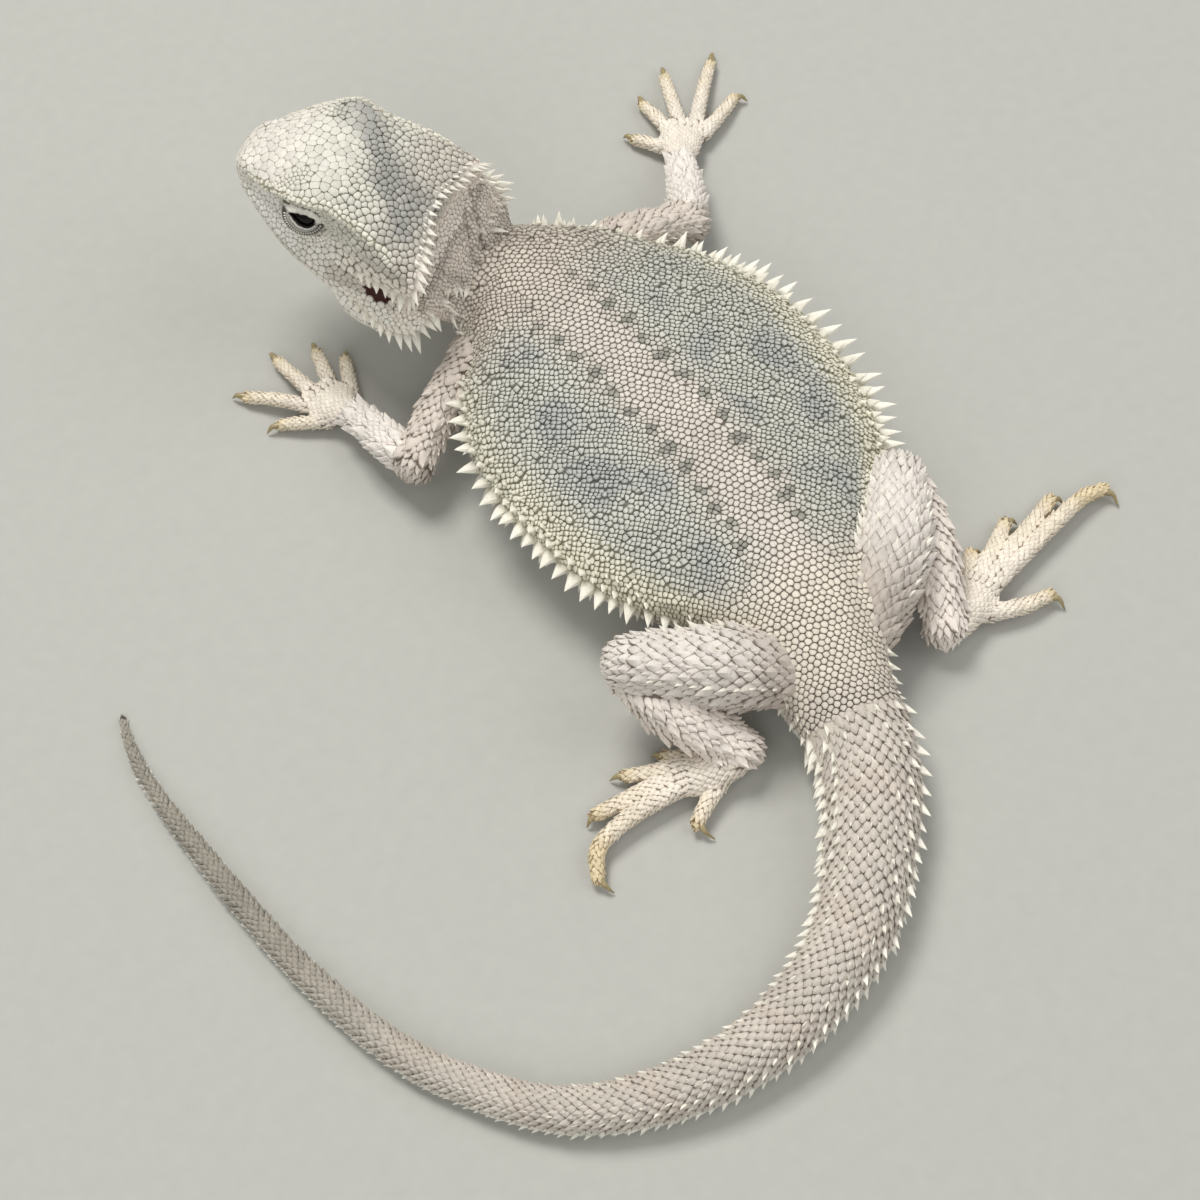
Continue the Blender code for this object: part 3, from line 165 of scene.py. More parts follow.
# the head in its own axes: forward | crown z | brow y, z | eye side y, z | lip y, z | jaw y, z | throat z
headSizes = {
    "place": (2.6, -105.6, 46.7),
    "yaw": -53.8,
    "pitch": 15.0,
    "rails": (
        (30.2, -4.8, 1.0, -5.2, 1.4, -6.0, 1.5, -7.0, 1.2, -8.0, -8.4),
        (29.4, -1.2, 4.0, -1.8, 4.0, -4.6, 2.9, -6.9, 2.2, -8.8, -9.6),
        (27.4, 1.8, 7.2, 1.0, 6.6, -3.2, 5.7, -6.9, 3.9, -9.8, -11.2),
        (24.0, 5.2, 9.6, 1.4, 8.4, -1.4, 8.6, -7.4, 6.2, -11.4, -13.0),
        (19.0, 9.6, 13.0, 4.8, 10.4, 0.8, 11.6, -8.2, 8.8, -12.6, -14.6),
        (13.5, 12.9, 15.3, 9.2, 12.2, 3.4, 14.8, -9.0, 11.8, -13.4, -15.8),
        (8.0, 14.4, 17.2, 12.6, 13.6, 5.2, 17.2, -9.6, 14.2, -14.2, -16.8),
        (2.0, 15.4, 15.9, 13.0, 15.2, 5.0, 18.9, -10.1, 16.4, -14.9, -17.8),
        (-4.0, 15.4, 16.9, 12.0, 17.4, 4.0, 20.2, -10.4, 18.6, -15.4, -18.4),
        (-10.0, 14.2, 19.5, 10.0, 19.6, 2.0, 20.6, -10.0, 22.2, -15.6, -18.6),
        (-16.0, 12.4, 20.8, 6.4, 20.0, -1.2, 20.8, -8.6, 23.4, -15.2, -18.2),
        (-20.6, 9.8, 21.2, 3.0, 19.6, -2.6, 21.0, -8.6, 23.6, -14.8, -17.2),
        (-22.2, 4.0, 18.0, -0.6, 18.0, -4.4, 20.6, -8.8, 23.4, -14.4, -16.8),
        (-25.0, -5.0, 10.0, -5.6, 15.0, -7.6, 19.5, -9.8, 22.6, -14.0, -16.2),
        (-29.0, -9.0, 8.0, -9.4, 13.0, -10.4, 17.0, -11.8, 19.0, -13.8, -15.4),
        (-31.0, -11.0, 5.0, -11.2, 9.0, -11.6, 12.0, -12.4, 13.0, -13.4, -14.4),
    ),
    "steps": (8, 6, 9, 6, 5),        # points between one rail and the next, crown to throat
    "rings": 91,
    # rear corners set back: how far, at what side, forward and up where it sets in
    "sweep": (4.2, 21.2, (-6.0, -20.0), (-9.0, -3.0)),
    # ridge from the nostril over the eye to the temple: forward, left, up, radius
    "ridge": ((24.6, 8.3, -1.6, 0.3), (22.0, 10.6, 2.3, 0.6), (19.0, 12.7, 4.9, 0.75),
              (13.5, 15.0, 9.0, 0.85),
              (8.0, 16.9, 12.2, 0.9), (2.0, 15.8, 12.7, 0.85), (-4.0, 16.5, 12.7, 0.65),
              (-10.0, 17.8, 11.6, 0.5), (-15.5, 18.8, 8.6, 0.3)),
    # crease under the ridge, from before the eye back over the temple, its dark colour painted shade
    "shadedCrease": ((22.0, 10.9, 0.4), (19.0, 13.0, 3.0), (13.5, 15.3, 7.1), (8.0, 17.2, 10.3),
               (2.0, 16.6, 10.4), (-1.9, 16.8, 10.2), (-4.8, 17.6, 10.4), (-7.7, 18.5, 10.6),
               (-10.6, 19.1, 10.3), (-13.6, 19.8, 9.2)),
    "mouth": ((29.6, -7.4), (28.0, -7.6), (24.0, -8.1), (18.0, -9.0), (12.0, -9.8), (5.0, -10.6),
              (-2.0, -11.0)),
    "mouthRadius": 0.42,
    "ear": ((-15.6, 20.8, -5.6), (3.9, 3.0, 2.8)),
    "nostril": ((25.0, 8.2, -2.2), (1.3, 0.9, 0.8)),
    # pushes on the skin: from place, to place, reach, height
    "pushes": (
        ((22.5, 9.7, -0.6), (14.0, 13.2, 5.6), 1.3, -0.7),       # hollow under the ridge
        ((1.5, 16.4, 9.8), (-7.7, 18.5, 10.5), 1.0, -0.55),
        ((-7.7, 18.5, 10.5), (-13.6, 19.8, 9.2), 0.9, -0.45),
        ((19.0, 11.2, -3.0), (24.0, 9.0, -3.4), 2.6, -0.4),      # side of the snout
        ((25.0, 8.0, -2.2), (25.0, 8.4, -2.2), 1.7, 0.45),       # nostril mound
        ((0.5, 17.2, 5.4), (-11.0, 20.6, -0.8), 1.3, -0.55),     # crease behind the eye
        ((-1.0, 17.8, 8.4), (-15.0, 20.8, 3.6), 2.0, 0.45),      # temple ridge
        ((-14.0, 21.4, -5.2), (-17.0, 21.4, -5.2), 3.4, -0.7),   # round the ear
        ((26.0, 6.9, -6.3), (0.0, 19.4, -9.4), 1.1, 0.3),        # upper lip
        ((-25.0, 15.5, 1.0), (-33.0, 9.0, -10.0), 1.6, -1.5),    # folds of the neck
        ((-25.5, 10.0, 1.5), (-33.0, 3.5, -9.0), 1.5, -1.1),
        ((-25.0, 13.0, 1.2), (-32.0, 6.5, -8.0), 1.3, 0.7),
    ),
}

skinSizes = {
    "coat": 0.5,            # depth of the scales over the skin
    "coatShare": 0.2,       # and at most this share of a half size, for thin tips
    "voxel": 0.00088,
    "smooth": 4,
    "floor": 0.35,          # height of the skin over the floor where it rests
    "wrinkle": 0.32,        # folds across the flanks and the neck
    "wrinkleStep": 2.9,
    "ringGap": 1.6,         # from one ring of a form to the next
}

nudge = 0.02     # small step along or round a form


def hermite(a, b, slopeA, slopeB, t):
    ends = a * (2 * t**3 - 3 * t**2 + 1) + b * (3 * t**2 - 2 * t**3)
    return ends + slopeA * (t**3 - 2 * t**2 + t) + slopeB * (t**3 - t**2)


def readRows(rows, at):
    # rows read at fractional row numbers, on a smooth curve through all of them
    rows = np.asarray(rows, float)
    slopes = np.gradient(rows, axis=0)
    at = np.clip(np.atleast_1d(np.asarray(at, float)), 0.0, len(rows) - 1)
    low = np.minimum(at.astype(int), len(rows) - 2)
    return hermite(rows[low], rows[low + 1], slopes[low], slopes[low + 1], (at - low)[:, None])


def unit(vectors):
    return vectors / np.maximum(np.linalg.norm(vectors, axis=-1, keepdims=True), 1e-9)


def alongSurface(ways, out):
    # ways turned to lie along the surface
    return unit(ways - out * np.sum(ways * out, axis=1, keepdims=True))


def step(value, low, high):
    # 0 below low, 1 above high, smooth between
    t = np.clip((value - low) / (high - low), 0.0, 1.0)
    return t * t * (3 - 2 * t)


def runLength(path, gap=1.0):
    # how far along a path each of its places lies, in steps of a gap
    return np.concatenate([[0.0], np.cumsum(np.linalg.norm(np.diff(path, axis=0), axis=1) / gap)])


def segmentGap(points, first, last):
    # distance from each point to the line between two places
    first, last = np.array(first, float), np.array(last, float)
    span = last - first
    share = np.clip((points - first) @ span / max(span @ span, 1e-9), 0.0, 1.0)
    return np.linalg.norm(points - first - share[:, None] * span, axis=1)


def pathGap(points, path):
    return np.min([segmentGap(points, first, last) for first, last in zip(path[:-1], path[1:])], axis=0)


def waves(points, size, seed):
    # a smooth random pattern of about that size, -1 to 1, from a few waves in random directions
    draw = np.random.default_rng(seed)
    total = np.zeros(len(points))
    for _ in range(7):
        way = unit(draw.normal(size=3)) * 2 * math.pi / size * draw.uniform(0.6, 1.5)
        total += np.sin(points @ way + draw.uniform(0, 6.28))
    return total / 3.2


def treeOf(points):
    tree = KDTree(len(points))
    for index, point in enumerate(points):
        tree.insert(point, index)
    tree.balance()
    return tree


def nearestOf(tree, points):
    # row and distance of the nearest place to each point
    found = [tree.find(point)[1:] for point in points]
    return np.array([hit[0] for hit in found], int), np.array([hit[1] for hit in found])


def makeForm(rows, facing=None, caps=(False, False)):
    full = [row if len(row) == 7 else (*row[:3], row[3], row[3], row[4], row[4]) for row in rows]
    return {"rows": np.array(full, float), "facing": facing, "caps": caps, "last": len(full) - 1}


def formFrame(form, at):
    # centre, left, up and tangent at each station, and the four half sizes
    at = np.atleast_1d(np.asarray(at, float))
    here = readRows(form["rows"], at)
    if form["facing"] is None:
        ahead = readRows(form["rows"], np.minimum(at + nudge, form["last"]))[:, :3]
        tangent = unit(ahead - readRows(form["rows"], np.maximum(at - nudge, 0.0))[:, :3])
    else:
        tangent = np.tile(form["facing"], (len(at), 1))
    left = unit(np.cross(tangent, (0.0, 0.0, 1.0)))
    return here[:, :3], left, np.cross(left, tangent), tangent, here[:, 3:]


def formPoint(form, at, angle, shrink=1.0, push=0.0, coat=skinSizes["coat"]):
    # places round the sections: angle 0 is the left edge, a quarter turn the back
    centre, left, up, tangent, size = formFrame(form, at)
    angle = np.broadcast_to(angle, (len(centre),))
    across, along = np.cos(angle), np.sin(angle)
    wide = np.where(across > 0, size[:, 0], size[:, 1])
    tall = np.where(along > 0, size[:, 2], size[:, 3])
    wide = (wide - np.minimum(coat, wide * skinSizes["coatShare"])) * shrink
    tall = (tall - np.minimum(coat, tall * skinSizes["coatShare"])) * shrink
    point = centre + left * (across * wide)[:, None] + up * (along * tall)[:, None] + tangent * push
    point[:, 2] = np.maximum(point[:, 2], skinSizes["floor"])
    return point


def formNormal(form, at, angle):
    at = np.atleast_1d(np.asarray(at, float))
    angle = np.broadcast_to(angle, at.shape)
    ahead = formPoint(form, np.minimum(at + nudge, form["last"]), angle)
    along = ahead - formPoint(form, np.maximum(at - nudge, 0.0), angle)
    around = formPoint(form, at, angle + nudge) - formPoint(form, at, angle - nudge)
    out = unit(np.cross(around, along))
    towards = formPoint(form, at, angle) - formFrame(form, at)[0]
    return out * np.where(np.sum(out * towards, axis=1) > 0, 1.0, -1.0)[:, None]


headYaw = Matrix.Rotation(math.radians(headSizes["yaw"]), 3, "Z")
turnHead = np.array(headYaw @ Matrix.Rotation(math.radians(-headSizes["pitch"]), 3, "Y"))
headPlace = np.array(headSizes["place"])
headRails = np.array(headSizes["rails"])
headRidge = np.array(headSizes["ridge"])[:, :3]
mouthPath = np.array(headSizes["mouth"])


def fromHead(points):
    return np.asarray(points, float) @ turnHead.T + headPlace


def toHead(points):
    return (np.asarray(points, float) - headPlace) @ turnHead


def toScene(points):
    return (np.asarray(points, float) - middle) * mm


def folded(place):
    # places on the head with its right side turned onto the left
    return np.column_stack([place[:, 0], np.abs(place[:, 1]), place[:, 2]])


def railAt(forward, column):
    # one column of the rails that far forward
    return np.interp(-forward, -headRails[:, 0], headRails[:, column])


def mouthHeight(forward):
    return np.interp(-forward, -mouthPath[:, 0], mouthPath[:, 1])


def hollowGap(place, key):
    # 1 on the rim of an ear or nostril, less inside it
    return np.linalg.norm((place - headSizes[key][0]) / headSizes[key][1], axis=1)


def digitForm(points, thick):
    flesh = points[:-1]
    sizes = [thick[0] + (thick[1] - thick[0]) * index / (len(flesh) - 1) for index in range(len(flesh))]
    return makeForm([(*place, size, size * 0.9) for place, size in zip(flesh, sizes)], caps=(False, True))


def buildForms():
    neck = [(*fromHead([row[:3]])[0], *row[3:]) for row in neckSizes["stations"]]
    forms = {"trunk": makeForm(trunkSizes["stations"]), "neck": makeForm(neck, facing=-turnHead[:, 0])}
    for name, rows in limbSizes.items():
        leg = name.startswith(("thigh", "shank"))
        forms[name] = makeForm(rows, caps=(leg or name.startswith("forearm"),
                                           leg or name.startswith("upper")))
    for name, sizes in endSizes.items():
        forms[name] = makeForm(sizes["palm"], caps=(name.startswith("foot"), True))
        for index, points in enumerate(sizes["digits"]):
            forms[name + "_" + str(index + 1)] = digitForm(points, sizes["thick"])
    return forms


def formRings(form, count, sides):
    turns = np.linspace(0.0, 2 * math.pi, sides, endpoint=False)
    first, last = (float(np.mean(form["rows"][end][3:])) for end in (0, -1))
    rings = []
    for lean in np.radians((75, 55, 35, 15)) if form["caps"][0] else ():
        rings.append(formPoint(form, np.zeros(sides), turns, math.cos(lean), -first * math.sin(lean)))
    for at in np.linspace(0.0, form["last"], count):
        rings.append(formPoint(form, np.full(sides, at), turns))
    for lean in np.radians((15, 35, 55, 75)) if form["caps"][1] else ():
        push = (last - skinSizes["coat"]) * math.sin(lean)
        rings.append(formPoint(form, np.full(sides, form["last"]), turns, math.cos(lean), push))
    return rings


def headRing(at):
    # one section of the head: a smooth line through its rails, its rear corners set back
    rail = readRows(headRails, at)[0]
    side = [(rail[2], rail[3]), (rail[4], rail[5]), (rail[6], rail[7]), (rail[8], rail[9])]
    rails = np.array([(0.0, rail[1]), *side, (0.0, rail[10]), *[(-y, z) for y, z in reversed(side)]])
    before = rails - np.roll(rails, 1, axis=0)
    chord = np.linalg.norm(before, axis=1)
    after = np.roll(chord, -1)
    way = before / chord[:, None]
    slope = (way * after[:, None] + np.roll(way, -1, axis=0) * chord[:, None]) / (chord + after)[:, None]
    ring = []
    for index, parts in enumerate((*headSizes["steps"], *reversed(headSizes["steps"]))):
        other, length = (index + 1) % len(rails), after[index]
        t = (np.arange(parts) / parts)[:, None]
        ring.append(hermite(rails[index], rails[other], slope[index] * length, slope[other] * length, t))
    ring = np.vstack(ring)
    back, side, forward, up = headSizes["sweep"]
    share = step(ring[:, 1], up[0], up[1]) * float(step(-rail[0], -forward[0], -forward[1]))
    return np.column_stack([rail[0] - back * share * (ring[:, 0] / side) ** 2, ring])


def wrapInto(bm, rings, closed=False):
    # a grid wrapped into a tube through rings of points, its ends filled or joined
    sides = len(rings[0])
    rows = rings + rings[:1] if closed else rings
    grid = bmesh.ops.create_grid(bm, x_segments=sides, y_segments=len(rows) - 1, size=1.0)["verts"]
    for index, vert in enumerate(grid):
        ring, side = divmod(index, sides + 1)
        vert.co = rows[ring][side % sides]
    bmesh.ops.remove_doubles(bm, verts=grid, dist=1e-7 if closed else 0.00002)
    grid = [v for v in grid if v.is_valid]
    if not closed:
        rim = {e for v in grid for e in v.link_edges if e.is_boundary}
        bmesh.ops.holes_fill(bm, edges=list(rim), sides=sides + 1)
    bmesh.ops.recalc_face_normals(bm, faces=list({f for v in grid for f in v.link_faces}))
    return grid


def addObject(name, data):
    piece = bpy.data.objects.new(name, data)
    bpy.context.scene.collection.objects.link(piece)
    return piece


def fromBmesh(name, bm):
    mesh = bpy.data.meshes.new(name)
    bm.to_mesh(mesh)
    bm.free()
    return addObject(name, mesh)


def settle(piece):
    # replaces a mesh by what its modifiers make of it
    bpy.context.view_layer.update()
    made = bpy.data.meshes.new_from_object(piece.evaluated_get(bpy.context.evaluated_depsgraph_get()))
    piece.modifiers.clear()
    old = piece.data
    piece.data = made
    bpy.data.meshes.remove(old)


def ellipsoid(bm, centre, size, around=24, rows=16):
    # an ellipsoid in the head's axes, placed in the scene
    scale = Matrix.Diagonal((*size, 1.0))
    made = bmesh.ops.create_uvsphere(bm, u_segments=around, v_segments=rows, radius=1.0,
                                     matrix=scale)["verts"]
    for vert in made:
        vert.co = toScene(fromHead(np.array(vert.co) + centre))


def bothSides(place):
    return (np.array(place, float), np.array(place, float) * (1, -1, 1))


def readPoints(items, key):
    values = np.empty(len(items) * 3, np.float32)
    items.foreach_get(key, values)
    return values.reshape(-1, 3).astype(float)


def polygonsOf(mesh):
    mesh.calc_loop_triangles()
    faces = np.empty(len(mesh.loop_triangles) * 3, np.int32)
    mesh.loop_triangles.foreach_get("vertices", faces)
    return readPoints(mesh.vertices, "co").tolist(), faces.reshape(-1, 3).tolist()


# eyes: places in the head's axes
eyeSizes = {
    "place": (7.5, 12.7, 4.2),
    "ball": 5.25,
    "lid": 6.2,
    "socket": 6.42,
    "look": (-0.04, 0.88, 0.47),     # where the opening faces
    # the opening between the lids, forward and up from its middle
    "opening": ((3.4, -0.25), (1.9, 0.75), (0.3, 1.22), (-1.6, 1.38), (-3.0, 1.2), (-3.45, 0.55),
                (-3.2, -0.6),
                (-2.3, -1.55), (-0.6, -1.6), (0.8, -1.1), (2.1, -0.6)),
    "around": 72,
}

def shapeSkin(piece, trunk):
    # folds, ridges and hollows, as moves along the normal
    points = readPoints(piece.data.vertices, "co") / mm + middle
    normals = readPoints(piece.data.vertex_normals, "vector")
    place = folded(toHead(points))
    near = np.linalg.norm(place - (0.0, 0.0, -2.0), axis=1) < 45
    move = np.zeros(len(points))
    for first, last, reach, height in headSizes["pushes"]:
        move[near] += height * np.exp(-(segmentGap(place[near], first, last) / reach) ** 2)
    at, angle, gap = locate(trunk, points)
    side = np.abs(np.cos(angle))
    flank = np.clip((side - 0.25) / 0.3, 0, 1) * (gap < 1.0) * np.clip((9.5 - at) / 1.0, 0, 1) * np.clip(at,
                                                                                                         0,
                                                                                                         1)
    behind = near * step(-place[:, 0], 23.5, 26.5) * (1 - step(-place[:, 0], 38.0, 42.0))
    behind = behind * step(place[:, 2], -14.0, -9.0)
    runs = ((flank, at * 12.0 + 2.2 * waves(points, 16.0, 5)),
            (behind, place[:, 0] + 2.0 * waves(points, 13.0, 6)))
    for where, run in runs:
        move += where * skinSizes["wrinkle"] * np.sin(run * 2 * math.pi / skinSizes["wrinkleStep"])
    points += normals * move[:, None]
    points[:, 2] = np.maximum(points[:, 2], skinSizes["floor"] * 0.8)
    piece.data.vertices.foreach_set("co", toScene(points).astype(np.float32).ravel())
    piece.data.update()


def locate(form, points):
    # station, angle and distance of the nearest place of a form
    samples = np.linspace(0.0, form["last"], int(form["last"] * 10) + 1)
    centre, _, _, tangent, _ = formFrame(form, samples)
    index = nearestOf(treeOf(centre), points)[0]
    off = points - centre[index]
    speed = np.gradient(samples) / np.maximum(np.linalg.norm(np.gradient(centre, axis=0), axis=1), 1e-6)
    at = np.clip(samples[index] + np.sum(off * tangent[index], axis=1) * speed[index], 0.0, form["last"])
    centre, left, up, _, size = formFrame(form, at)
    off = points - centre
    x, y = np.sum(off * left, axis=1), np.sum(off * up, axis=1)
    wide = np.where(x > 0, size[:, 0], size[:, 1])
    tall = np.where(y > 0, size[:, 2], size[:, 3])
    angle = np.arctan2(y / tall, x / wide)
    return at, angle, np.linalg.norm(points - formPoint(form, at, angle), axis=1)


def buildSkin(forms):
    # every form and the head as closed shapes, made one by a voxel remesh, then smoothed, folded and cut
    bm = bmesh.new()
    for form in forms.values():
        length = np.sum(np.linalg.norm(np.diff(form["rows"][:, :3], axis=0), axis=1))
        widest = float(form["rows"][:, 3:].max())
        sides = int(np.clip(2 * math.pi * widest / skinSizes["ringGap"], 16, 96))
        rings = formRings(form, max(6, int(length / skinSizes["ringGap"])), sides)
        wrapInto(bm, [toScene(ring) for ring in rings])
    rings = [headRing(at) for at in np.linspace(0.0, len(headRails) - 1, headSizes["rings"])]
    head = wrapInto(bm, [toScene(fromHead(ring)) for ring in rings])
    bm.normal_update()
    moves = [(vert, vert.normal * -skinSizes["coat"] * mm) for vert in head]
    for vert, move in moves:
        vert.co += move
    for side in (1, -1):
        rows = [(*fromHead([(f, y * side, z)])[0], radius, radius) for f, y, z, radius in headSizes["ridge"]]
        wrapInto(bm, [toScene(ring) for ring in formRings(makeForm(rows), 60, 10)])
        ellipsoid(bm, np.array(eyeSizes["place"]) * (1, side, 1), (eyeSizes["lid"] + 0.15,) * 3)
    skin = fromBmesh("skin", bm)
    remesh = skin.modifiers.new("Remesh", "REMESH")
    remesh.mode = "VOXEL"
    remesh.voxel_size = skinSizes["voxel"]
    remesh.use_smooth_shade = True
    smooth = skin.modifiers.new("Smooth", "SMOOTH")
    smooth.factor = 0.5
    smooth.iterations = skinSizes["smooth"]
    settle(skin)
    shapeSkin(skin, forms["trunk"])
    cutSkin(skin)
    return skin


def cutSkin(skin):
    # sockets, ears, nostrils and the line of the mouth, cut by one object of closed shapes
    bm = bmesh.new()
    for centre in bothSides(eyeSizes["place"]):
        ellipsoid(bm, centre, (eyeSizes["socket"],) * 3, 40, 24)
    for key in ("ear", "nostril"):
        for centre in bothSides(headSizes[key][0]):
            ellipsoid(bm, centre, headSizes[key][1])
    line = mouthLine(BVHTree.FromPolygons(*polygonsOf(skin.data)))
    turns = np.linspace(0.0, 2 * math.pi, 8, endpoint=False)
    rings = []
    for index, (point, normal) in enumerate(line):
        before, after = line[max(index - 1, 0)][0], line[min(index + 1, len(line) - 1)][0]
        across = unit(np.cross(normal, unit(after - before)))
        radius = headSizes["mouthRadius"] * mm * min(1.0, 0.35 + min(index, len(line) - 1 - index) / 6)
        rings.append([point + radius * (normal * math.cos(a) * 1.5 + across * math.sin(a)) for a in turns])
    wrapInto(bm, rings)
    cutter = fromBmesh("cutter", bm)
    cut = skin.modifiers.new("Cut", "BOOLEAN")
    cut.operation = "DIFFERENCE"
    cut.solver = "EXACT"
    cut.object = cutter
    settle(skin)
    mesh = cutter.data
    bpy.data.objects.remove(cutter)
    bpy.data.meshes.remove(mesh)


def mouthLine(tree):
    # places along the mouth on the skin, from the right corner round the snout to the left one
    tip = 29.5      # from here forward the line runs across the front of the snout
    forward = np.concatenate([np.linspace(-2.0, tip, 40), np.full(4, tip)])
    side = railAt(forward, 6)
    side[-4:] = side[-5] * np.array((0.75, 0.5, 0.25, 0.0))
    left = np.column_stack([forward, side, mouthHeight(forward)])
    left[-4:, 0] += np.array((0.3, 0.6, 0.75, 0.8))
    line = []
    for place in toScene(fromHead(np.vstack([left[:-1] * (1, -1, 1), left[::-1]]))):
        point, normal, _, _ = tree.find_nearest(place)
        line.append((np.array(point), np.array(normal)))
    return line


forms = buildForms()
skin = buildSkin(forms)
print("skin made:", len(skin.data.vertices), "points")

skinPoints = readPoints(skin.data.vertices, "co")
skinNormals = readPoints(skin.data.vertex_normals, "vector")
skinFaces = polygonsOf(skin.data)
skinTree = BVHTree.FromPolygons(*skinFaces)
skinCorners = np.array(skinFaces[0])[np.array(skinFaces[1])] / mm + middle
skinNear = treeOf(skinPoints)

formNames = [*forms, "head"]
headForm = len(forms)

# each form's rectangle on the unwrap of the skin: the trunk along the bottom, the head, then the rest
atlas = {"trunk": (0.01, 0.01, 0.98, 0.44), "head": (0.01, 0.47, 0.36, 0.52),
         "neck": (0.39, 0.47, 0.2, 0.25)}
for index, name in enumerate(n for n in forms if n not in atlas):
    atlas[name] = (0.6 + 0.066 * (index % 6), 0.47 + 0.088 * (index // 6), 0.062, 0.082)


def newBed(name, at, angle, point, gap, tangent):
    # places for scales: which form, station, angle, place, spacing, and the way the scales lie
    count = len(point)
    return {
        "form": np.full(count, formNames.index(name)),
        "at": np.broadcast_to(at, (count,)).astype(float),
        "angle": np.broadcast_to(angle, (count,)).astype(float),
        "point": np.asarray(point, float).reshape(count, 3),
        "gap": np.broadcast_to(gap, (count,)).astype(float),
        "rise": np.ones(count),
        "kind": np.zeros(count, int),
        "along": np.broadcast_to(tangent, (count, 3)).astype(float),
    }


def joinBeds(beds):
    return {key: np.concatenate([bed[key] for bed in beds]) for key in beds[0]}


def pick(bed, keep):
    return {key: value[keep] for key, value in bed.items()}


def underSkin(points, reach):
    # the rows that lie within reach of the skin, their places on it, and its normals there
    rows, found, normals = [], [], []
    for index, place in enumerate(toScene(points)):
        point = skinTree.find_nearest(Vector(place), reach * mm)[0]
        if point is not None:
            rows.append(index)
            found.append(point)
            normals.append(skinNormals[skinNear.find(point)[1]])
    found, normals = (np.array(values, float).reshape(-1, 3) for values in (found, normals))
    return np.array(rows, int), found / mm + middle, unit(normals)


def onSkin(bed, reach=0.8):
    # moves each place to the skin, turns its way along the surface, and drops those under other flesh
    rows, found, normals = underSkin(bed["point"], reach)
    bed = {**pick(bed, rows), "point": found, "out": normals}
    bed["along"] = alongSurface(bed["along"], normals)
    return bed


def ringBed(name, first, last, gap, row, seed, wide=1.0, jitter=0.1, wavy=0.0):
    # staggered rows round a form, from one station to another; gap is a size or a function of the station
    form = forms[name]
    draw = np.random.default_rng(seed)
    steps = np.linspace(first, last, 300)
    run = runLength(readRows(form["rows"], steps)[:, :3])
    turn = np.linspace(0.0, 2 * math.pi, 181)
    beds, here, odd = [], 0.3, 0
    while here < run[-1]:
        at = float(np.interp(here, run, steps))
        size = gap(at) if callable(gap) else gap
        ahead, aside = size * row, size * wide
        tick = runLength(formPoint(form, np.full(len(turn), at), turn), aside)
        most = int(tick[-1] / 2) + 1
        marks = np.arange(-most, most + 1) + 0.5 * odd
        marks = marks[np.abs(marks) < tick[-1] / 2 - 0.3]
        count = len(marks)
        marks = marks + np.interp(math.pi / 2, turn, tick) + draw.uniform(-jitter, jitter, count)
        angle = np.interp(marks % tick[-1], tick, turn)
        spots = np.clip(at + draw.uniform(-jitter, jitter, count) * ahead * 0.08, first, last)
        spots = np.clip(spots + wavy * waves(formPoint(form, spots, angle), 8.0, 8), first, last)
        tangent = formFrame(form, spots)[3]
        beds.append(newBed(name, spots, angle, formPoint(form, spots, angle), aside, tangent))
        here += ahead
        odd = 1 - odd
    return joinBeds(beds)


def thin(bed, share=0.62):
    # drops places that crowd one of another form
    tree = treeOf(bed["point"])
    keep = np.ones(len(bed["point"]), bool)
    for index, point in enumerate(bed["point"]):
        if keep[index]:
            for _, other, _ in tree.find_range(point, bed["gap"][index] * share):
                if other > index and bed["form"][other] != bed["form"][index]:
                    keep[other] = False
    return pick(bed, keep)


def spread(points, gaps, share):
    # rows of the places kept in order, each clearing those too near to it
    tree = treeOf(points)
    free = np.ones(len(points), bool)
    chosen = []
    for index, point in enumerate(points):
        if free[index]:
            chosen.append(index)
            for _, other, _ in tree.find_range(point, gaps[index] * share):
                free[other] = False
    return np.array(chosen, int)


def scatter(corners, perArea, draw):
    # random places on triangles, so many to each square millimetre
    area = np.linalg.norm(np.cross(corners[:, 1] - corners[:, 0], corners[:, 2] - corners[:, 0]), axis=1) / 2
    face = draw.choice(len(area), int(area.sum() * perArea), p=area / area.sum())
    share = draw.random((len(face), 2))
    share = np.where(share.sum(axis=1, keepdims=True) > 1, 1 - share, share)
    first, second, third = (corners[face, corner] for corner in range(3))
    return first + (second - first) * share[:, :1] + (third - first) * share[:, 1:]
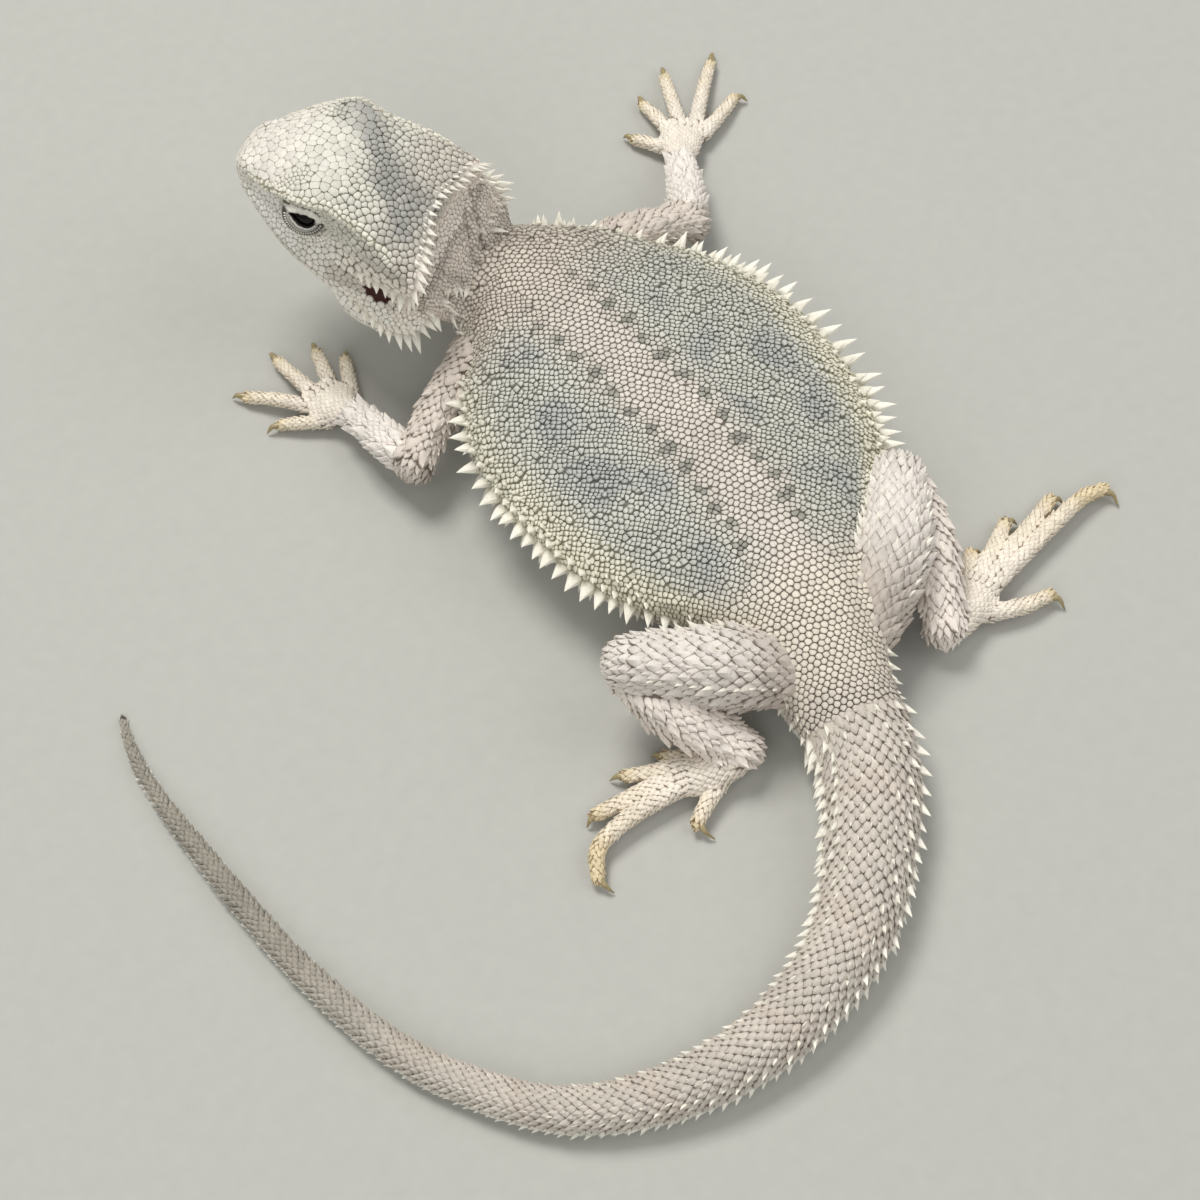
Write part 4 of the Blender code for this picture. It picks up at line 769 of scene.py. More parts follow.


# sRGB of the top of a scale and of the line between scales, one set of markings for skin and scales, with some
# tones of painted shade among them
markingsAndShade = {
    "stripe": ("#d8d1c7", "#91887d"),
    "flank": ("#d3d3c9", "#77776d"),
    "blotch": ("#b1b3b0", "#5c5f60"),
    "edge": ("#f3efdb", "#908b72"),
    "shoulder": ("#d2c9bd", "#887f74"),
    "hip": ("#e2d9ca", "#90857a"),
    "belly": ("#efece2", "#b5aea2"),
    "tail": ("#d3cbc0", "#6b5f55"),
    "tailDark": ("#cfc3b6", "#64584e"),
    "tailTip": ("#a09a8e", "#55514a"),
    "neck": ("#f3eadf", "#b9ada2"),
    "crown": ("#dcdacd", "#8b887b"),
    "crownBlue": ("#a6a59f", "#54534d"),
    "occiput": ("#d2ccc1", "#857d71"),
    "snout": ("#e6e2d8", "#b0a697"),
    "brow": ("#efecde", "#b3ac98"),
    # painted shade in the crease under the brow ridge
    "shadedCrease": ("#a59c8e", "#5d5547"),
    "cheek": ("#fffaf0", "#a2988b"),
    "temple": ("#f6efe3", "#756859"),
    "lore": ("#fbf8f1", "#aaa59c"),
    # grey-brown below the temple spikes, partly its own tone and partly painted shade under the spikes
    "underTempleShade": ("#cfc7bb", "#7b7166"),
    # painted shadow under the crest and painted shade in the neck's folds
    "foldShade": ("#a89d93", "#665c54"),
    "limb": ("#f3ece4", "#85786d"),
    "thigh": ("#eae3db", "#82776c"),
    "shank": ("#f6ece2", "#8d7e73"),
    "arm": ("#dbd1c6", "#7a6d62"),
    # painted shade where the limbs meet the trunk
    "limbRootShade": ("#cfc4b9", "#76695e"),
    "palm": ("#f6eddf", "#95877a"),
    "toe": ("#f2e7d3", "#937f68"),
    "toeEnd": ("#e6d5b0", "#8b7550"),
    "ear": ("#a3938a", "#4a2a22"),
    "spine": ("#f7f3e6", "#b7ae98"),
    "dot": ("#98978d", "#5f5e56"),
}


def linear(colour):
    values = np.array([int(colour[i:i + 2], 16) / 255 for i in (1, 3, 5)])
    return np.where(values <= 0.04045, values / 12.92, ((values + 0.055) / 1.055) ** 2.4)


tones = {name: np.array([linear(c) for c in pair]) for name, pair in markingsAndShade.items()}


# middle line of the blue-grey band across the crown, on the head's own plan
crownBand = np.array(((5.0, -14.0, 0.0), (2.0, -9.0, 0.0), (-1.0, -4.0, 0.0), (-8.0, 1.0, 0.0),
                      (-14.0, 4.0, 0.0),
                      (-15.0, 10.0, 0.0)))


def layers(count, base, *coats):
    # a base tone under other tones, each over its share of every place
    tone = np.tile(tones[base], (count, 1, 1))
    for name, share in coats:
        share = np.clip(share, 0.0, 1.0)[:, None, None]
        tone = tone * (1 - share) + tones[name] * share
    return tone


def trunkTones(name, at, angle, point, patch, fleck):
    rows = forms["trunk"]["rows"]
    wide, narrow = (np.interp(at, np.arange(len(rows)), rows[:, column]) for column in (3, 4))
    share = np.abs(np.cos(angle))
    side = share * np.where(np.cos(angle) > 0, wide, narrow)
    blotches = step(patch, -0.5, 1.0) * step(side, 9.0, 15.0) * (1 - step(share, 0.6, 0.85)) * step(at, 2.0,
                                                                                                    3.2)
    half = 6.4 + 1.4 * fleck - 1.5 * step(at, 7.5, 9.0)
    # a dark dot every 6.2 mm along both edges of the stripe
    run = (at * 12.6) % 6.2 - 3.1
    dots = 1 - step(np.hypot(run, side - 8.2 - 1.2 * fleck), 1.0, 2.2)
    bands = step(np.sin(at * 4.6 + 1.2 * patch), 0.15, 0.9) * step(at, 12.0, 13.5)
    return layers(
        len(at), "flank",
        ("blotch", blotches * 0.85),
        ("edge", step(share, 0.74, 0.93) * (0.55 + 0.45 * step(at, 3.0, 7.0))),
        ("stripe", 1 - step(side, half - 1.0, half + 8.5)),
        ("dot", dots * step(at, 0.8, 1.5) * (1 - step(at, 8.6, 9.4)) * 0.95),
        ("shoulder", (1 - step(at, 1.2, 3.4)) * (1 - 0.5 * step(share, 0.8, 0.95))),
        ("hip", step(at, 8.6, 10.2)),
        ("tail", step(at, 11.6, 13.0)),
        ("tailDark", bands * 0.55),
        ("tailTip", step(at, 19.5, 23.0)),
        ("belly", 1 - step(np.sin(angle), -0.25, 0.1)),
    )


def headTones(name, at, angle, point, patch, fleck):
    turned = toHead(point)
    place = folded(turned)
    f, y, z = place.T
    # blue-grey band across the crown, and the pale patch where the skin was shed
    blue = (1 - step(pathGap(turned * (1, 1, 0), crownBand) + 1.6 * fleck, 0.5, 8.5)) * step(z, 4.0, 8.0)
    shed = np.exp(-((f - 8.0) ** 2 + (turned[:, 1] - 4.8) ** 2) / 8.0)
    low = 1 - step(z, -1.5, 5.5)
    # the band under the temple spikes: its grey-brown tone darkened further by painted shade
    under = step(-f, -1.0, 5.0) * (1 - step(z, -3.0, -1.5)) * step(z, -9.5, -7.5)
    ear = np.hypot((f - headSizes["ear"][0][0]) / 1.5, z - headSizes["ear"][0][2])
    return layers(
        len(at), "crown",
        ("occiput", step(-f, 6.0, 12.0)),
        ("snout", step(f, 9.0, 18.0)),
        ("crownBlue", blue),
        ("snout", shed * 0.9),
        ("cheek", low * (1 - step(f, 2.0, 9.0))),
        ("lore", low * step(f, 3.0, 9.0) * (1 - step(f, 21.0, 26.0)) * step(z, -9.0, -6.5)),
        ("belly", 1 - step(z, -15.5, -12.5)),
        ("underTempleShade", under * 0.8),
        ("temple", step(-f, 2.0, 8.0) * step(z, -3.5, -1.5) * (1 - step(z, 3.0, 6.5))),
        ("brow", 1 - step(pathGap(place, headRidge), 1.0, 1.9)),
        # painted shade darkening the crease under the ridge
        ("shadedCrease", (1 - step(pathGap(place, headSizes["shadedCrease"]), 0.3, 1.0)) * 0.85),
        ("ear", (1 - step(ear, 1.8, 3.0)) * step(y, 14.0, 17.0)),
        ("neck", step(-f, 20.5, 23.0) * step(z, -13.0, -9.0)),
    )


def neckTones(name, at, angle, point, patch, fleck):
    place = folded(toHead(point))
    f, _, z = place.T
    # painted shadow in the valley under the crest, and painted shade along the folds of the neck
    crestShadow = step(-f, 22.0, 24.0) * (1 - step(-f, 25.5, 28.5)) * step(z, -12.0, -8.0)
    pits = [push for push in headSizes["pushes"][-3:] if push[3] < 0]
    folds = np.max([1 - step(segmentGap(place, first, last), 0.4, 1.7) for first, last, _, _ in pits],
                   axis=0)
    return layers(
        len(at), "neck",
        ("shoulder", step(-f, 30.0, 38.0)),
        ("foldShade", np.maximum(crestShadow * 0.6, folds * 0.75)),
        ("belly", 1 - step(point[:, 2], 14.0, 24.0)),
    )


def limbTones(name, at, **others):
    if name.startswith(("hand", "foot")):
        digit = float(name.count("_") == 2)
        return layers(len(at), "palm", ("toe", digit * step(at, 0.3, 1.2)),
                      ("toeEnd", digit * step(at, 1.5, 2.1)))
    base = {"thigh": "thigh", "shank": "shank", "upper": "arm"}.get(name.split("_")[0], "limb")
    # painted shade at the roots of the upper arms and thighs, where they meet the trunk
    rootShade = (1 - step(at, 0.2, 1.2)) * name.startswith(("upper", "thigh"))
    return layers(len(at), base, ("limbRootShade", rootShade))


painters = {"trunk": trunkTones, "head": headTones, "neck": neckTones}


def paint(bed):
    # colour of scale tops and of the lines between, for each place
    places = {key: bed[key] for key in ("at", "angle", "point")}
    places["patch"], places["fleck"] = waves(bed["point"], 22.0, 11), waves(bed["point"], 7.0, 12)
    tone = np.empty((len(bed["point"]), 2, 3))
    for index in np.unique(bed["form"]):
        mine, name = bed["form"] == index, formNames[index]
        tone[mine] = painters.get(name, limbTones)(name, **pick(places, mine))
    shade = 1 + 0.05 * waves(bed["point"], 3.0, 13) + 0.04 * places["patch"]
    return np.clip(tone * shade[:, None, None], 0.0, 1.0)


# one scale of each kind, shaped once and repeated

def stampOf(bm):
    # a shaped bmesh as points and triangles, its rings counted from the base up
    bmesh.ops.recalc_face_normals(bm, faces=bm.faces)
    bmesh.ops.triangulate(bm, faces=bm.faces)
    bm.verts.index_update()
    points = np.array([v.co[:] for v in bm.verts])
    faces = np.array([[v.index for v in f.verts] for f in bm.faces])
    bm.free()
    return points, faces


def raiseTop(bm, faces, up, scale):
    # extrudes the top, lifts it and draws it in
    made = bmesh.ops.extrude_face_region(bm, geom=faces)["geom"]
    verts = [g for g in made if isinstance(g, bmesh.types.BMVert)]
    bmesh.ops.delete(bm, geom=[f for f in faces if f.is_valid], context="FACES_ONLY")
    bmesh.ops.translate(bm, verts=verts, vec=(0, 0, up))
    bmesh.ops.scale(bm, verts=verts, vec=(scale, scale, 1))
    return [g for g in made if isinstance(g, bmesh.types.BMFace)]


def closeBase(bm):
    bmesh.ops.holes_fill(bm, edges=[e for e in bm.edges if e.is_boundary], sides=64)


def grainStamp(sides, shoulders):
    # a domed scale of radius 1 and height 1, its foot sunk below 0
    bm = bmesh.new()
    bmesh.ops.create_circle(bm, cap_ends=True, segments=sides, radius=1.0)
    bmesh.ops.rotate(bm, verts=bm.verts, cent=(0, 0, 0), matrix=Matrix.Rotation(-math.pi / 2, 3, "Z"))
    bmesh.ops.translate(bm, verts=bm.verts, vec=(0, 0, -0.5))
    top, height, size = list(bm.faces), -0.5, 1.0
    for up, width in shoulders:
        top = raiseTop(bm, top, up - height, width / size)
        height, size = up, width
    peak = bmesh.ops.poke(bm, faces=top)["verts"]
    bmesh.ops.translate(bm, verts=peak, vec=(0, 0, 1.0 - height))
    closeBase(bm)
    return stampOf(bm)


def keelStamp(sides, rim, ridge, narrow, rear):
    # an overlapping scale: height of its rim and of the keel, how far it narrows to the back,
    # and where its point ends
    bm = bmesh.new()
    bmesh.ops.create_circle(bm, cap_ends=True, segments=sides, radius=0.5)
    for vert in bm.verts:
        if vert.co.y > 0.01:
            vert.co.x *= 1 - narrow * (vert.co.y / 0.5) ** 1.5
            vert.co.y *= rear * 1.9
    bmesh.ops.translate(bm, verts=bm.verts, vec=(0, 0, -0.5))
    top = raiseTop(bm, list(bm.faces), 0.36 + rim, 0.98)
    for vert in {v for f in top for v in f.verts}:
        vert.co.z += 0.25 * vert.co.y
    top = raiseTop(bm, top, 0.14, 0.82)
    for vert in {v for f in top for v in f.verts}:
        if abs(vert.co.x) < 0.01 and vert.co.y > 0:
            vert.co = (0.0, rear * 0.93, 1.0)
    for vert in bmesh.ops.poke(bm, faces=top)["verts"]:
        vert.co = (0.0, -0.04, ridge)
    closeBase(bm)
    return stampOf(bm)


def spineStamp(sides):
    # a spine of length 1 and root radius 1, round at the foot and drawn out to its point
    bm = bmesh.new()
    bmesh.ops.create_cone(bm, cap_ends=True, segments=sides, radius1=1.0, radius2=0.0, depth=1.0)
    bmesh.ops.translate(bm, verts=bm.verts, vec=(0, 0, 0.5))
    for height in (0.2, 0.48, 0.76):
        parts = bm.verts[:] + bm.edges[:] + bm.faces[:]
        bmesh.ops.bisect_plane(bm, geom=parts, plane_co=(0, 0, height), plane_no=(0, 0, 1))
    for vert in bm.verts:
        height = vert.co.z
        if 0.01 < height < 0.99:
            fat = (1 - height) ** 0.92 / (1 - height)
            vert.co.x *= fat
            vert.co.y *= fat
    bmesh.ops.scale(bm, verts=[v for v in bm.verts if v.co.z < 0.01], vec=(1.05, 1.05, 1))
    return stampOf(bm)


# each stamp with its sides and the paleness of its rings, from the base to the middle
stamps = {
    "pebble": (grainStamp(8, ((0.6, 0.92),)), 8, (0.1, 0.7, 1.0)),
    "cobble": (grainStamp(10, ((0.6, 0.93), (0.93, 0.62))), 10, (0.1, 0.7, 0.95, 1.0)),
    "grain": (grainStamp(12, ((0.62, 0.95), (0.95, 0.62))), 12, (0.15, 0.75, 0.97, 1.0)),
    "plate": (grainStamp(16, ((0.72, 0.975), (0.97, 0.85))), 16, (0.3, 0.85, 0.98, 1.0)),
    "keel": (keelStamp(8, 0.26, 0.76, 0.42, 0.84), 8, (0.0, 0.0, 0.85, 1.0)),
    "granule": (keelStamp(6, 0.3, 0.84, 0.3, 0.74), 6, (0.0, 0.1, 0.9, 1.0)),
}
spineShape = spineStamp(8)
print("stamps ready")


def bakeUv(bed):
    # the root's place on the unwrap of the skin's own shape
    uv = np.zeros((len(bed["at"]), 2))
    for index in np.unique(bed["form"]):
        mine, name = bed["form"] == index, formNames[index]
        left, low, wide, tall = atlas[name]
        if name == "head":
            place = toHead(bed["point"][mine])
            share = (30.5 - place[:, 0]) / 62.0
            turn = np.arctan2(place[:, 2] + 3.0, place[:, 1]) / (2 * math.pi) + 0.25
        else:
            share = bed["at"][mine] / forms[name]["last"]
            turn = bed["angle"][mine] / (2 * math.pi)
        uv[mine, 0] = left + wide * np.clip(share, 0.0, 1.0)
        uv[mine, 1] = low + tall * (turn % 1.0)
    return uv


def tintPoints(mesh, colours):
    rgba = np.ones((len(mesh.vertices), 4), np.float32)
    rgba[:, :3] = np.clip(colours, 0, 1).reshape(-1, 3)
    mesh.attributes.new("tint", "FLOAT_COLOR", "POINT").data.foreach_set("color", rgba.ravel())


def stampMesh(name, bed, stamp, points, tints):
    # one mesh of many stamps: points (scale, stamp point, xyz) in millimetres, each with a tint and
    # a patch of the unwrap
    count, size = points.shape[:2]
    points[:, :, 2] = np.maximum(points[:, :, 2], 0.03)
    faces = (stamp[1][None] + (np.arange(count) * size)[:, None, None]).reshape(-1)
    mesh = bpy.data.meshes.new(name)
    mesh.vertices.add(count * size)
    mesh.vertices.foreach_set("co", toScene(points).astype(np.float32).ravel())
    mesh.loops.add(len(faces))
    mesh.loops.foreach_set("vertex_index", faces.astype(np.int32))
    mesh.polygons.add(len(faces) // 3)
    mesh.polygons.foreach_set("loop_start", np.arange(0, len(faces), 3, dtype=np.int32))
    mesh.update(calc_edges=True)
    mesh.validate()
    tintPoints(mesh, tints)
    uv = bakeUv(bed)[:, None] + stamp[0][None, :, :2] * 0.0014
    mesh.uv_layers.new(name="OFBake").uv.foreach_set("vector",
                                                     uv.reshape(-1, 2)[faces].astype(np.float32).ravel())
    mesh.polygons.foreach_set("use_smooth", np.ones(len(mesh.polygons), bool))
    mesh.set_sharp_from_angle(angle=math.radians(38))
    return addObject(name, mesh)


def dress(piece, material):
    piece.data.materials.clear()
    piece.data.materials.append(material)
    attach(piece, "root")
    return piece


def addNode(tree, kind, settings=None, links=None):
    # one node, with its settings by name and its links by socket
    node = tree.nodes.new(kind)
    for key, value in (settings or {}).items():
        if key in node.inputs:
            node.inputs[key].default_value = value
        else:
            setattr(node, key, value)
    for socket, source in (links or {}).items():
        tree.links.new(source, node.inputs[socket])
    return node


def newMaterial(name):
    material = bpy.data.materials.new(name)
    material.use_nodes = True
    tree = material.node_tree
    tree.nodes.clear()
    return material, tree, addNode(tree, "ShaderNodeTexCoord").outputs["Object"]


# keratin scales: a hard, dry, faintly glossy horn over soft skin, finely grained, dusty in the lines
def keratinScale(name, roughness, grain, depth):
    material, tree, where = newMaterial(name)
    tint = addNode(tree, "ShaderNodeAttribute", {"attribute_name": "tint"}).outputs["Color"]
    # grain in the colour, given in millimetres, and a finer one of 0.22 mm in bump and gloss
    mottle = addNode(tree, "ShaderNodeTexNoise",
                     {"Scale": 1 / (grain * mm), "Detail": 3.0, "Roughness": 0.6},
                     {"Vector": where})
    level = addNode(tree, "ShaderNodeMapRange",
                    {"From Min": 0.3, "From Max": 0.7, "To Min": 0.88, "To Max": 1.08},
                    {"Value": mottle.outputs["Fac"]})
    colour = addNode(tree, "ShaderNodeVectorMath", {"operation": "SCALE"},
                     {0: tint, "Scale": level.outputs["Result"]})
    fine = addNode(tree, "ShaderNodeTexNoise", {"Scale": 1 / (0.22 * mm), "Detail": 4.0, "Roughness": 0.65},
                   {"Vector": where})
    bump = addNode(tree, "ShaderNodeBump", {"Strength": 0.35, "Distance": depth * mm},
                   {"Height": fine.outputs["Fac"]})
    gloss = {"From Min": 0.3, "From Max": 0.7, "To Min": roughness - 0.08, "To Max": roughness + 0.08}
    rough = addNode(tree, "ShaderNodeMapRange", gloss, {"Value": fine.outputs["Fac"]})
    shader = addNode(
        tree, "ShaderNodeBsdfPrincipled", {"IOR": 1.54, "Metallic": 0.0, "Specular IOR Level": 0.35},
        {"Base Color": colour.outputs["Vector"], "Roughness": rough.outputs["Result"],
         "Normal": bump.outputs["Normal"]})
    addNode(tree, "ShaderNodeOutputMaterial", None, {"Surface": shader.outputs["BSDF"]})
    return material


def twoTone(name, low, high, scale, detail, finish):
    # a finish whose colour drifts between two tones
    material, tree, where = newMaterial(name)
    drift = addNode(tree, "ShaderNodeTexNoise", {"Scale": scale, "Detail": detail}, {"Vector": where})
    tone = addNode(tree, "ShaderNodeMix", {"data_type": "RGBA"}, {0: drift.outputs["Fac"]})
    tone.inputs[6].default_value, tone.inputs[7].default_value = (*low, 1.0), (*high, 1.0)
    shader = addNode(tree, "ShaderNodeBsdfPrincipled", finish, {"Base Color": tone.outputs[2]})
    addNode(tree, "ShaderNodeOutputMaterial", None, {"Surface": shader.outputs["BSDF"]})
    return material


scaleHorn = keratinScale("keratin_scale", 0.56, 0.5, 0.03)
spineHorn = keratinScale("keratin_spine", 0.45, 0.7, 0.02)
skinSoft = keratinScale("soft_skin", 0.68, 0.4, 0.05)


def cellReach(bed, sides, most, margin, rowLine):
    # how far each scale may reach toward each side before it meets its neighbours
    near = np.array([[hit[1] for hit in placeTree.find_n(point, 13)] for point in bed["point"]])
    off = allPlaces[near] - bed["point"][:, None]
    across = np.cross(bed["along"], bed["out"])
    x = np.sum(off * across[:, None], axis=2)[:, 1:]
    y = np.sum(off * bed["along"][:, None], axis=2)[:, 1:]
    turn = np.arange(sides) * 2 * math.pi / sides
    towards = x[..., None] * np.cos(turn) + y[..., None] * np.sin(turn)
    square = (x**2 + y**2)[..., None]
    reach = np.where(towards > 1e-3, square / (2 * np.maximum(towards, 1e-3)), 9.0).min(axis=1)
    return np.minimum(reach, bed["gap"][:, None] * most) - margin - rowLine * np.abs(np.sin(turn))


def grow(name, bed, kind, height, seed, slot="pale_scales", lean=0.0, aspect=(1.0, 1.0), most=0.75,
         margin=0.03,
         rowLine=0.0, bright=0.05, tone=None):
    # a piece of scales of one kind: cells that meet their neighbours, or keeled ones that overlap
    draw = np.random.default_rng(seed)
    stamp, sides, pale = stamps[kind]
    shape, count = stamp[0], len(bed["point"])
    out, along = bed["out"], bed["along"]
    across = np.cross(along, out)
    tall = height * draw.uniform(0.8, 1.2, count) * bed["rise"]
    if kind in ("keel", "granule"):
        size = bed["gap"] * draw.uniform(0.93, 1.07, count)
        x = shape[:, 0] * (size * aspect[0])[:, None]
        y = shape[:, 1] * (size * aspect[1])[:, None]
    else:
        turn = np.round(np.arctan2(shape[:, 1], shape[:, 0]) / (2 * math.pi / sides)).astype(int) % sides
        reach = cellReach(bed, sides, most, margin, rowLine)[:, turn] * np.hypot(shape[:, 0], shape[:, 1])
        x = reach * np.cos(turn * 2 * math.pi / sides)
        y = reach * np.sin(turn * 2 * math.pi / sides)
    z = shape[:, 2] * tall[:, None] + lean * np.maximum(y, 0.0)
    moves = across[:, None] * x[..., None] + along[:, None] * y[..., None] + out[:, None] * z[..., None]
    tone = paint(bed) if tone is None else tone
    tone = tone * (1 + draw.uniform(-bright, bright, count))[:, None, None]
    share = np.array(pale)[np.minimum(np.arange(len(shape)) // sides, len(pale) - 1)][:, None]
    tints = tone[:, 1][:, None] * (1 - share) + tone[:, 0][:, None] * share
    piece = dress(stampMesh(name, bed, stamp, bed["point"][:, None] + moves, tints), scaleHorn)
    print(name, len(piece.data.polygons), "triangles")


# spacing of the body's scales
scaleSizes = {
    "flank": 1.3,
    "inner": 1.42,
    "stripe": 1.7,
    "belly": 1.95,
    "neck": 1.15,
    "tail": (2.75, 1.25),         # at its base and near its tip
    "thigh": 2.6,
    "shank": 2.45,
    "upper_arm": 2.2,
    "forearm": 1.95,
    "palm": 1.55,
    "digit": 1.3,
    # scales that stand out: how far apart, their spacing, how much higher
    "flankLarge": (4.6, 2.2, 1.5),
    "limbLarge": (4.2, 3.3, 1.7),
}

# bands of the trunk: seed, gaps along and across in spacings, unevenness, and places beside the stripe
trunkBands = (
    ("flank", 21, 0.72, 1.22, 0.15, (12.0, 99.0)),
    ("inner", 26, 0.76, 1.12, 0.17, (6.5, 12.0)),
    ("stripe", 22, 0.8, 1.02, 0.17, (-99.0, 6.5)),
    ("belly", 23, 0.87, 1.0, 0.2, (-99.0, 99.0)),
)
tailStart = trunkSizes["tail"] + 0.1


def trunkBed():
    # regular rows in bands: wide on the stripe, finer outward, wide again on hips and belly
    beds = []
    for kind, (label, seed, row, wide, jitter, (low, high)) in enumerate(trunkBands):
        bed = ringBed("trunk", 0.15, tailStart, scaleSizes[label], row, seed, wide, jitter, 0.05)
        size = formFrame(forms["trunk"], bed["at"])[4]
        width = np.where(np.cos(bed["angle"]) > 0, size[:, 0], size[:, 1])
        side = np.abs(np.cos(bed["angle"])) * width + 2.2 * waves(bed["point"], 7.0,
                                                                  3) - 5.0 * step(bed["at"], 8.2, 9.6)
        side = np.where(bed["at"] > 9.6, 0.0, side)
        below = np.sin(bed["angle"]) < -0.3
        bed = pick(bed, (below == (label == "belly")) & (side >= low) & (side < high))
        bed["kind"][:] = kind + 1
        beds.append(standOut(bed, "flankLarge", seed + 5) if label == "flank" else bed)
    return joinBeds(beds)


def standOut(bed, size, seed):
    # picks scattered scales, drops those that crowd them, and lets them grow larger
    apart, gap, rise = scaleSizes[size]
    draw = np.random.default_rng(seed)
    tree = treeOf(bed["point"])
    kept, large = np.ones(len(bed["point"]), bool), np.zeros(len(bed["point"]), bool)
    far = apart * (0.8 + 0.35 * draw.random(len(large)))
    for index in draw.permutation(len(large)):
        near = tree.find_range(bed["point"][index], far[index])
        if kept[index] and not any(large[other] for _, other, _ in near):
            large[index] = True
            for _, other, distance in near:
                if size == "flankLarge" and other != index and distance < gap * 0.56:
                    kept[other] = False
    bed["gap"] = np.where(large, gap, bed["gap"])
    bed["rise"] = np.where(large, rise, bed["rise"])
    return pick(bed, kept)


def tailGap(at):
    wide, fine = scaleSizes["tail"]
    return wide + (fine - wide) * np.interp(at, (12.6, 16.0, 20.0, 26.0), (0.0, 0.22, 0.6, 1.0))


def capBed(name, gap):
    # rows over the rounded ends of a form
    form = forms[name]
    beds = [newBed(name, 0.0, 0.0, np.zeros((0, 3)), gap, np.zeros(3))]
    for end, at in ((0, 0.0), (1, float(form["last"]))):
        size = float(np.mean(form["rows"][-end][3:]))
        rows = max(2, int(size * 1.4 / (gap * 0.64))) if form["caps"][end] else 0
        for row in range(1, rows + 1):
            lean = math.radians(84.0 * row / rows)
            ring = 2 * math.pi * size * max(math.cos(lean), 0.1)
            count = max(3, int(ring / gap))
            turn = (np.arange(count) + 0.5 * (row % 2)) * 2 * math.pi / count
            push = (1 if end else -1) * (size - skinSizes["coat"]) * math.sin(lean)
            point = formPoint(form, np.full(count, at), turn, math.cos(lean), push)
            beds.append(newBed(name, at, turn, point, gap, formFrame(form, at)[3]))
    return joinBeds(beds)


def limbBeds():
    beds = []
    for index, name in enumerate(limbSizes):
        gap = scaleSizes[name.rsplit("_", 1)[0]]
        bed = ringBed(name, 0.0, forms[name]["last"], gap, 0.62, 30 + index)
        beds += [standOut(bed, "limbLarge", 130 + index), capBed(name, gap)]
    for number, name in enumerate(endSizes):
        gap = scaleSizes["palm"]
        beds += [ringBed(name, 0.0, 2.0, gap, 0.64, 50 + number), capBed(name, gap)]
        gap = scaleSizes["digit"] * (1.12 if name.startswith("foot") else 1.0)
        for index in range(5):
            digit, seed = name + "_" + str(index + 1), 60 + number * 5 + index
            beds += [ringBed(digit, 0.0, forms[digit]["last"], gap, 0.68, seed, 1.05), capBed(digit, gap)]
    return beds


tail = ringBed("trunk", tailStart, 25.9, tailGap, 0.62, 24, jitter=0.08)
body = onSkin(joinBeds([trunkBed(), ringBed("neck", 0.6, 4.0, scaleSizes["neck"], 0.9, 25, jitter=0.3)]))
limbs = onSkin(joinBeds([tail, *limbBeds()]))
both = thin(joinBeds([body, limbs]))
onTrunk, onNeck = both["form"] == 0, both["form"] == formNames.index("neck")
isBody = onNeck | (onTrunk & (both["at"] <= tailStart))
body, limbs = pick(both, isBody), pick(both, ~isBody)
print("beds:", len(body["at"]), len(limbs["at"]))

headScaleSizes = {
    "snout": 2.75,
    "forehead": 2.5,
    "crown": 1.7,
    "brow": 1.3,
    "lore": 1.35,
    "cheek": 1.85,
    "jowl": 1.9,
    "temple": 2.25,
    "throat": 2.0,
    "lip": 1.8,
    "lidRing": (0.8, 0.95, 1.1),
}


def headGap(place):
    # spacing of the head's scales, in its own axes
    place = folded(place)
    f, _, z = place.T
    sizes = headScaleSizes
    low = sizes["cheek"] + (sizes["jowl"] - sizes["cheek"]) * step(-f, 6.0, 16.0)
    low = low - 0.55 * step(-z, 3.0, 6.0) * step(-f, 6.0, 12.0)
    low = low + (sizes["lore"] - low) * step(f, 4.0, 9.0)
    ridge = 1 - step(pathGap(place, headRidge), 0.8, 2.0)
    shadedCrease = 1 - step(pathGap(place, headSizes["shadedCrease"]), 0.5, 1.6)
    eye = np.linalg.norm(place - eyeSizes["place"], axis=1)
    gap = sizes["crown"]
    for size, share in (
        (sizes["forehead"], step(f, -2.0, 8.0)),
        (sizes["snout"], step(f, 9.0, 15.0)),
        (low, step(railAt(f, 3) - z, 0.5, 3.0)),
        (sizes["brow"], np.maximum(ridge, shadedCrease)),
        (sizes["temple"], step(-f, 3.0, 7.0) * step(z, -4.5, -3.0) * (1 - step(z, 4.0, 7.0))),
        (sizes["lidRing"][1], 1 - step(eye, 7.5, 10.5)),
        (sizes["throat"], step(-z, 11.5, 14.0)),
        (scaleSizes["neck"], step(-f, 21.5, 24.0) * step(z, -12.0, -9.0)),
    ):
        gap = gap + (size - gap) * share
    return gap


def eyeFrame(side):
    # centre of an eye, and forward, up and out there, in the head's axes
    mirror = np.array((1.0, side, 1.0))
    look = unit(np.array(eyeSizes["look"])) * mirror
    forward = unit(np.array((1.0, 0.0, 0.0)) - look * look[0])
    up = np.cross(look, forward) * (-side)
    return np.array(eyeSizes["place"]) * mirror, forward, up if up[2] > 0 else -up, look


def roundEye(side, turn, out, depth):
    # places round an eye's line of sight, in the head's axes
    centre, forward, up, look = eyeFrame(side)
    across = forward * np.cos(turn)[:, None] + up * np.sin(turn)[:, None]
    return centre + across * np.reshape(out, (-1, 1)) + look * np.reshape(depth, (-1, 1))


def isHead(place):
    # whether skin at that place of the head's axes belongs to the head
    f, y, z = folded(place).T
    return (f > -31.5) & (f < 32) & (y < 25.5) & (z > -20) & (z < 17.5) & ~((f < -25.5) & (z > -11.0))


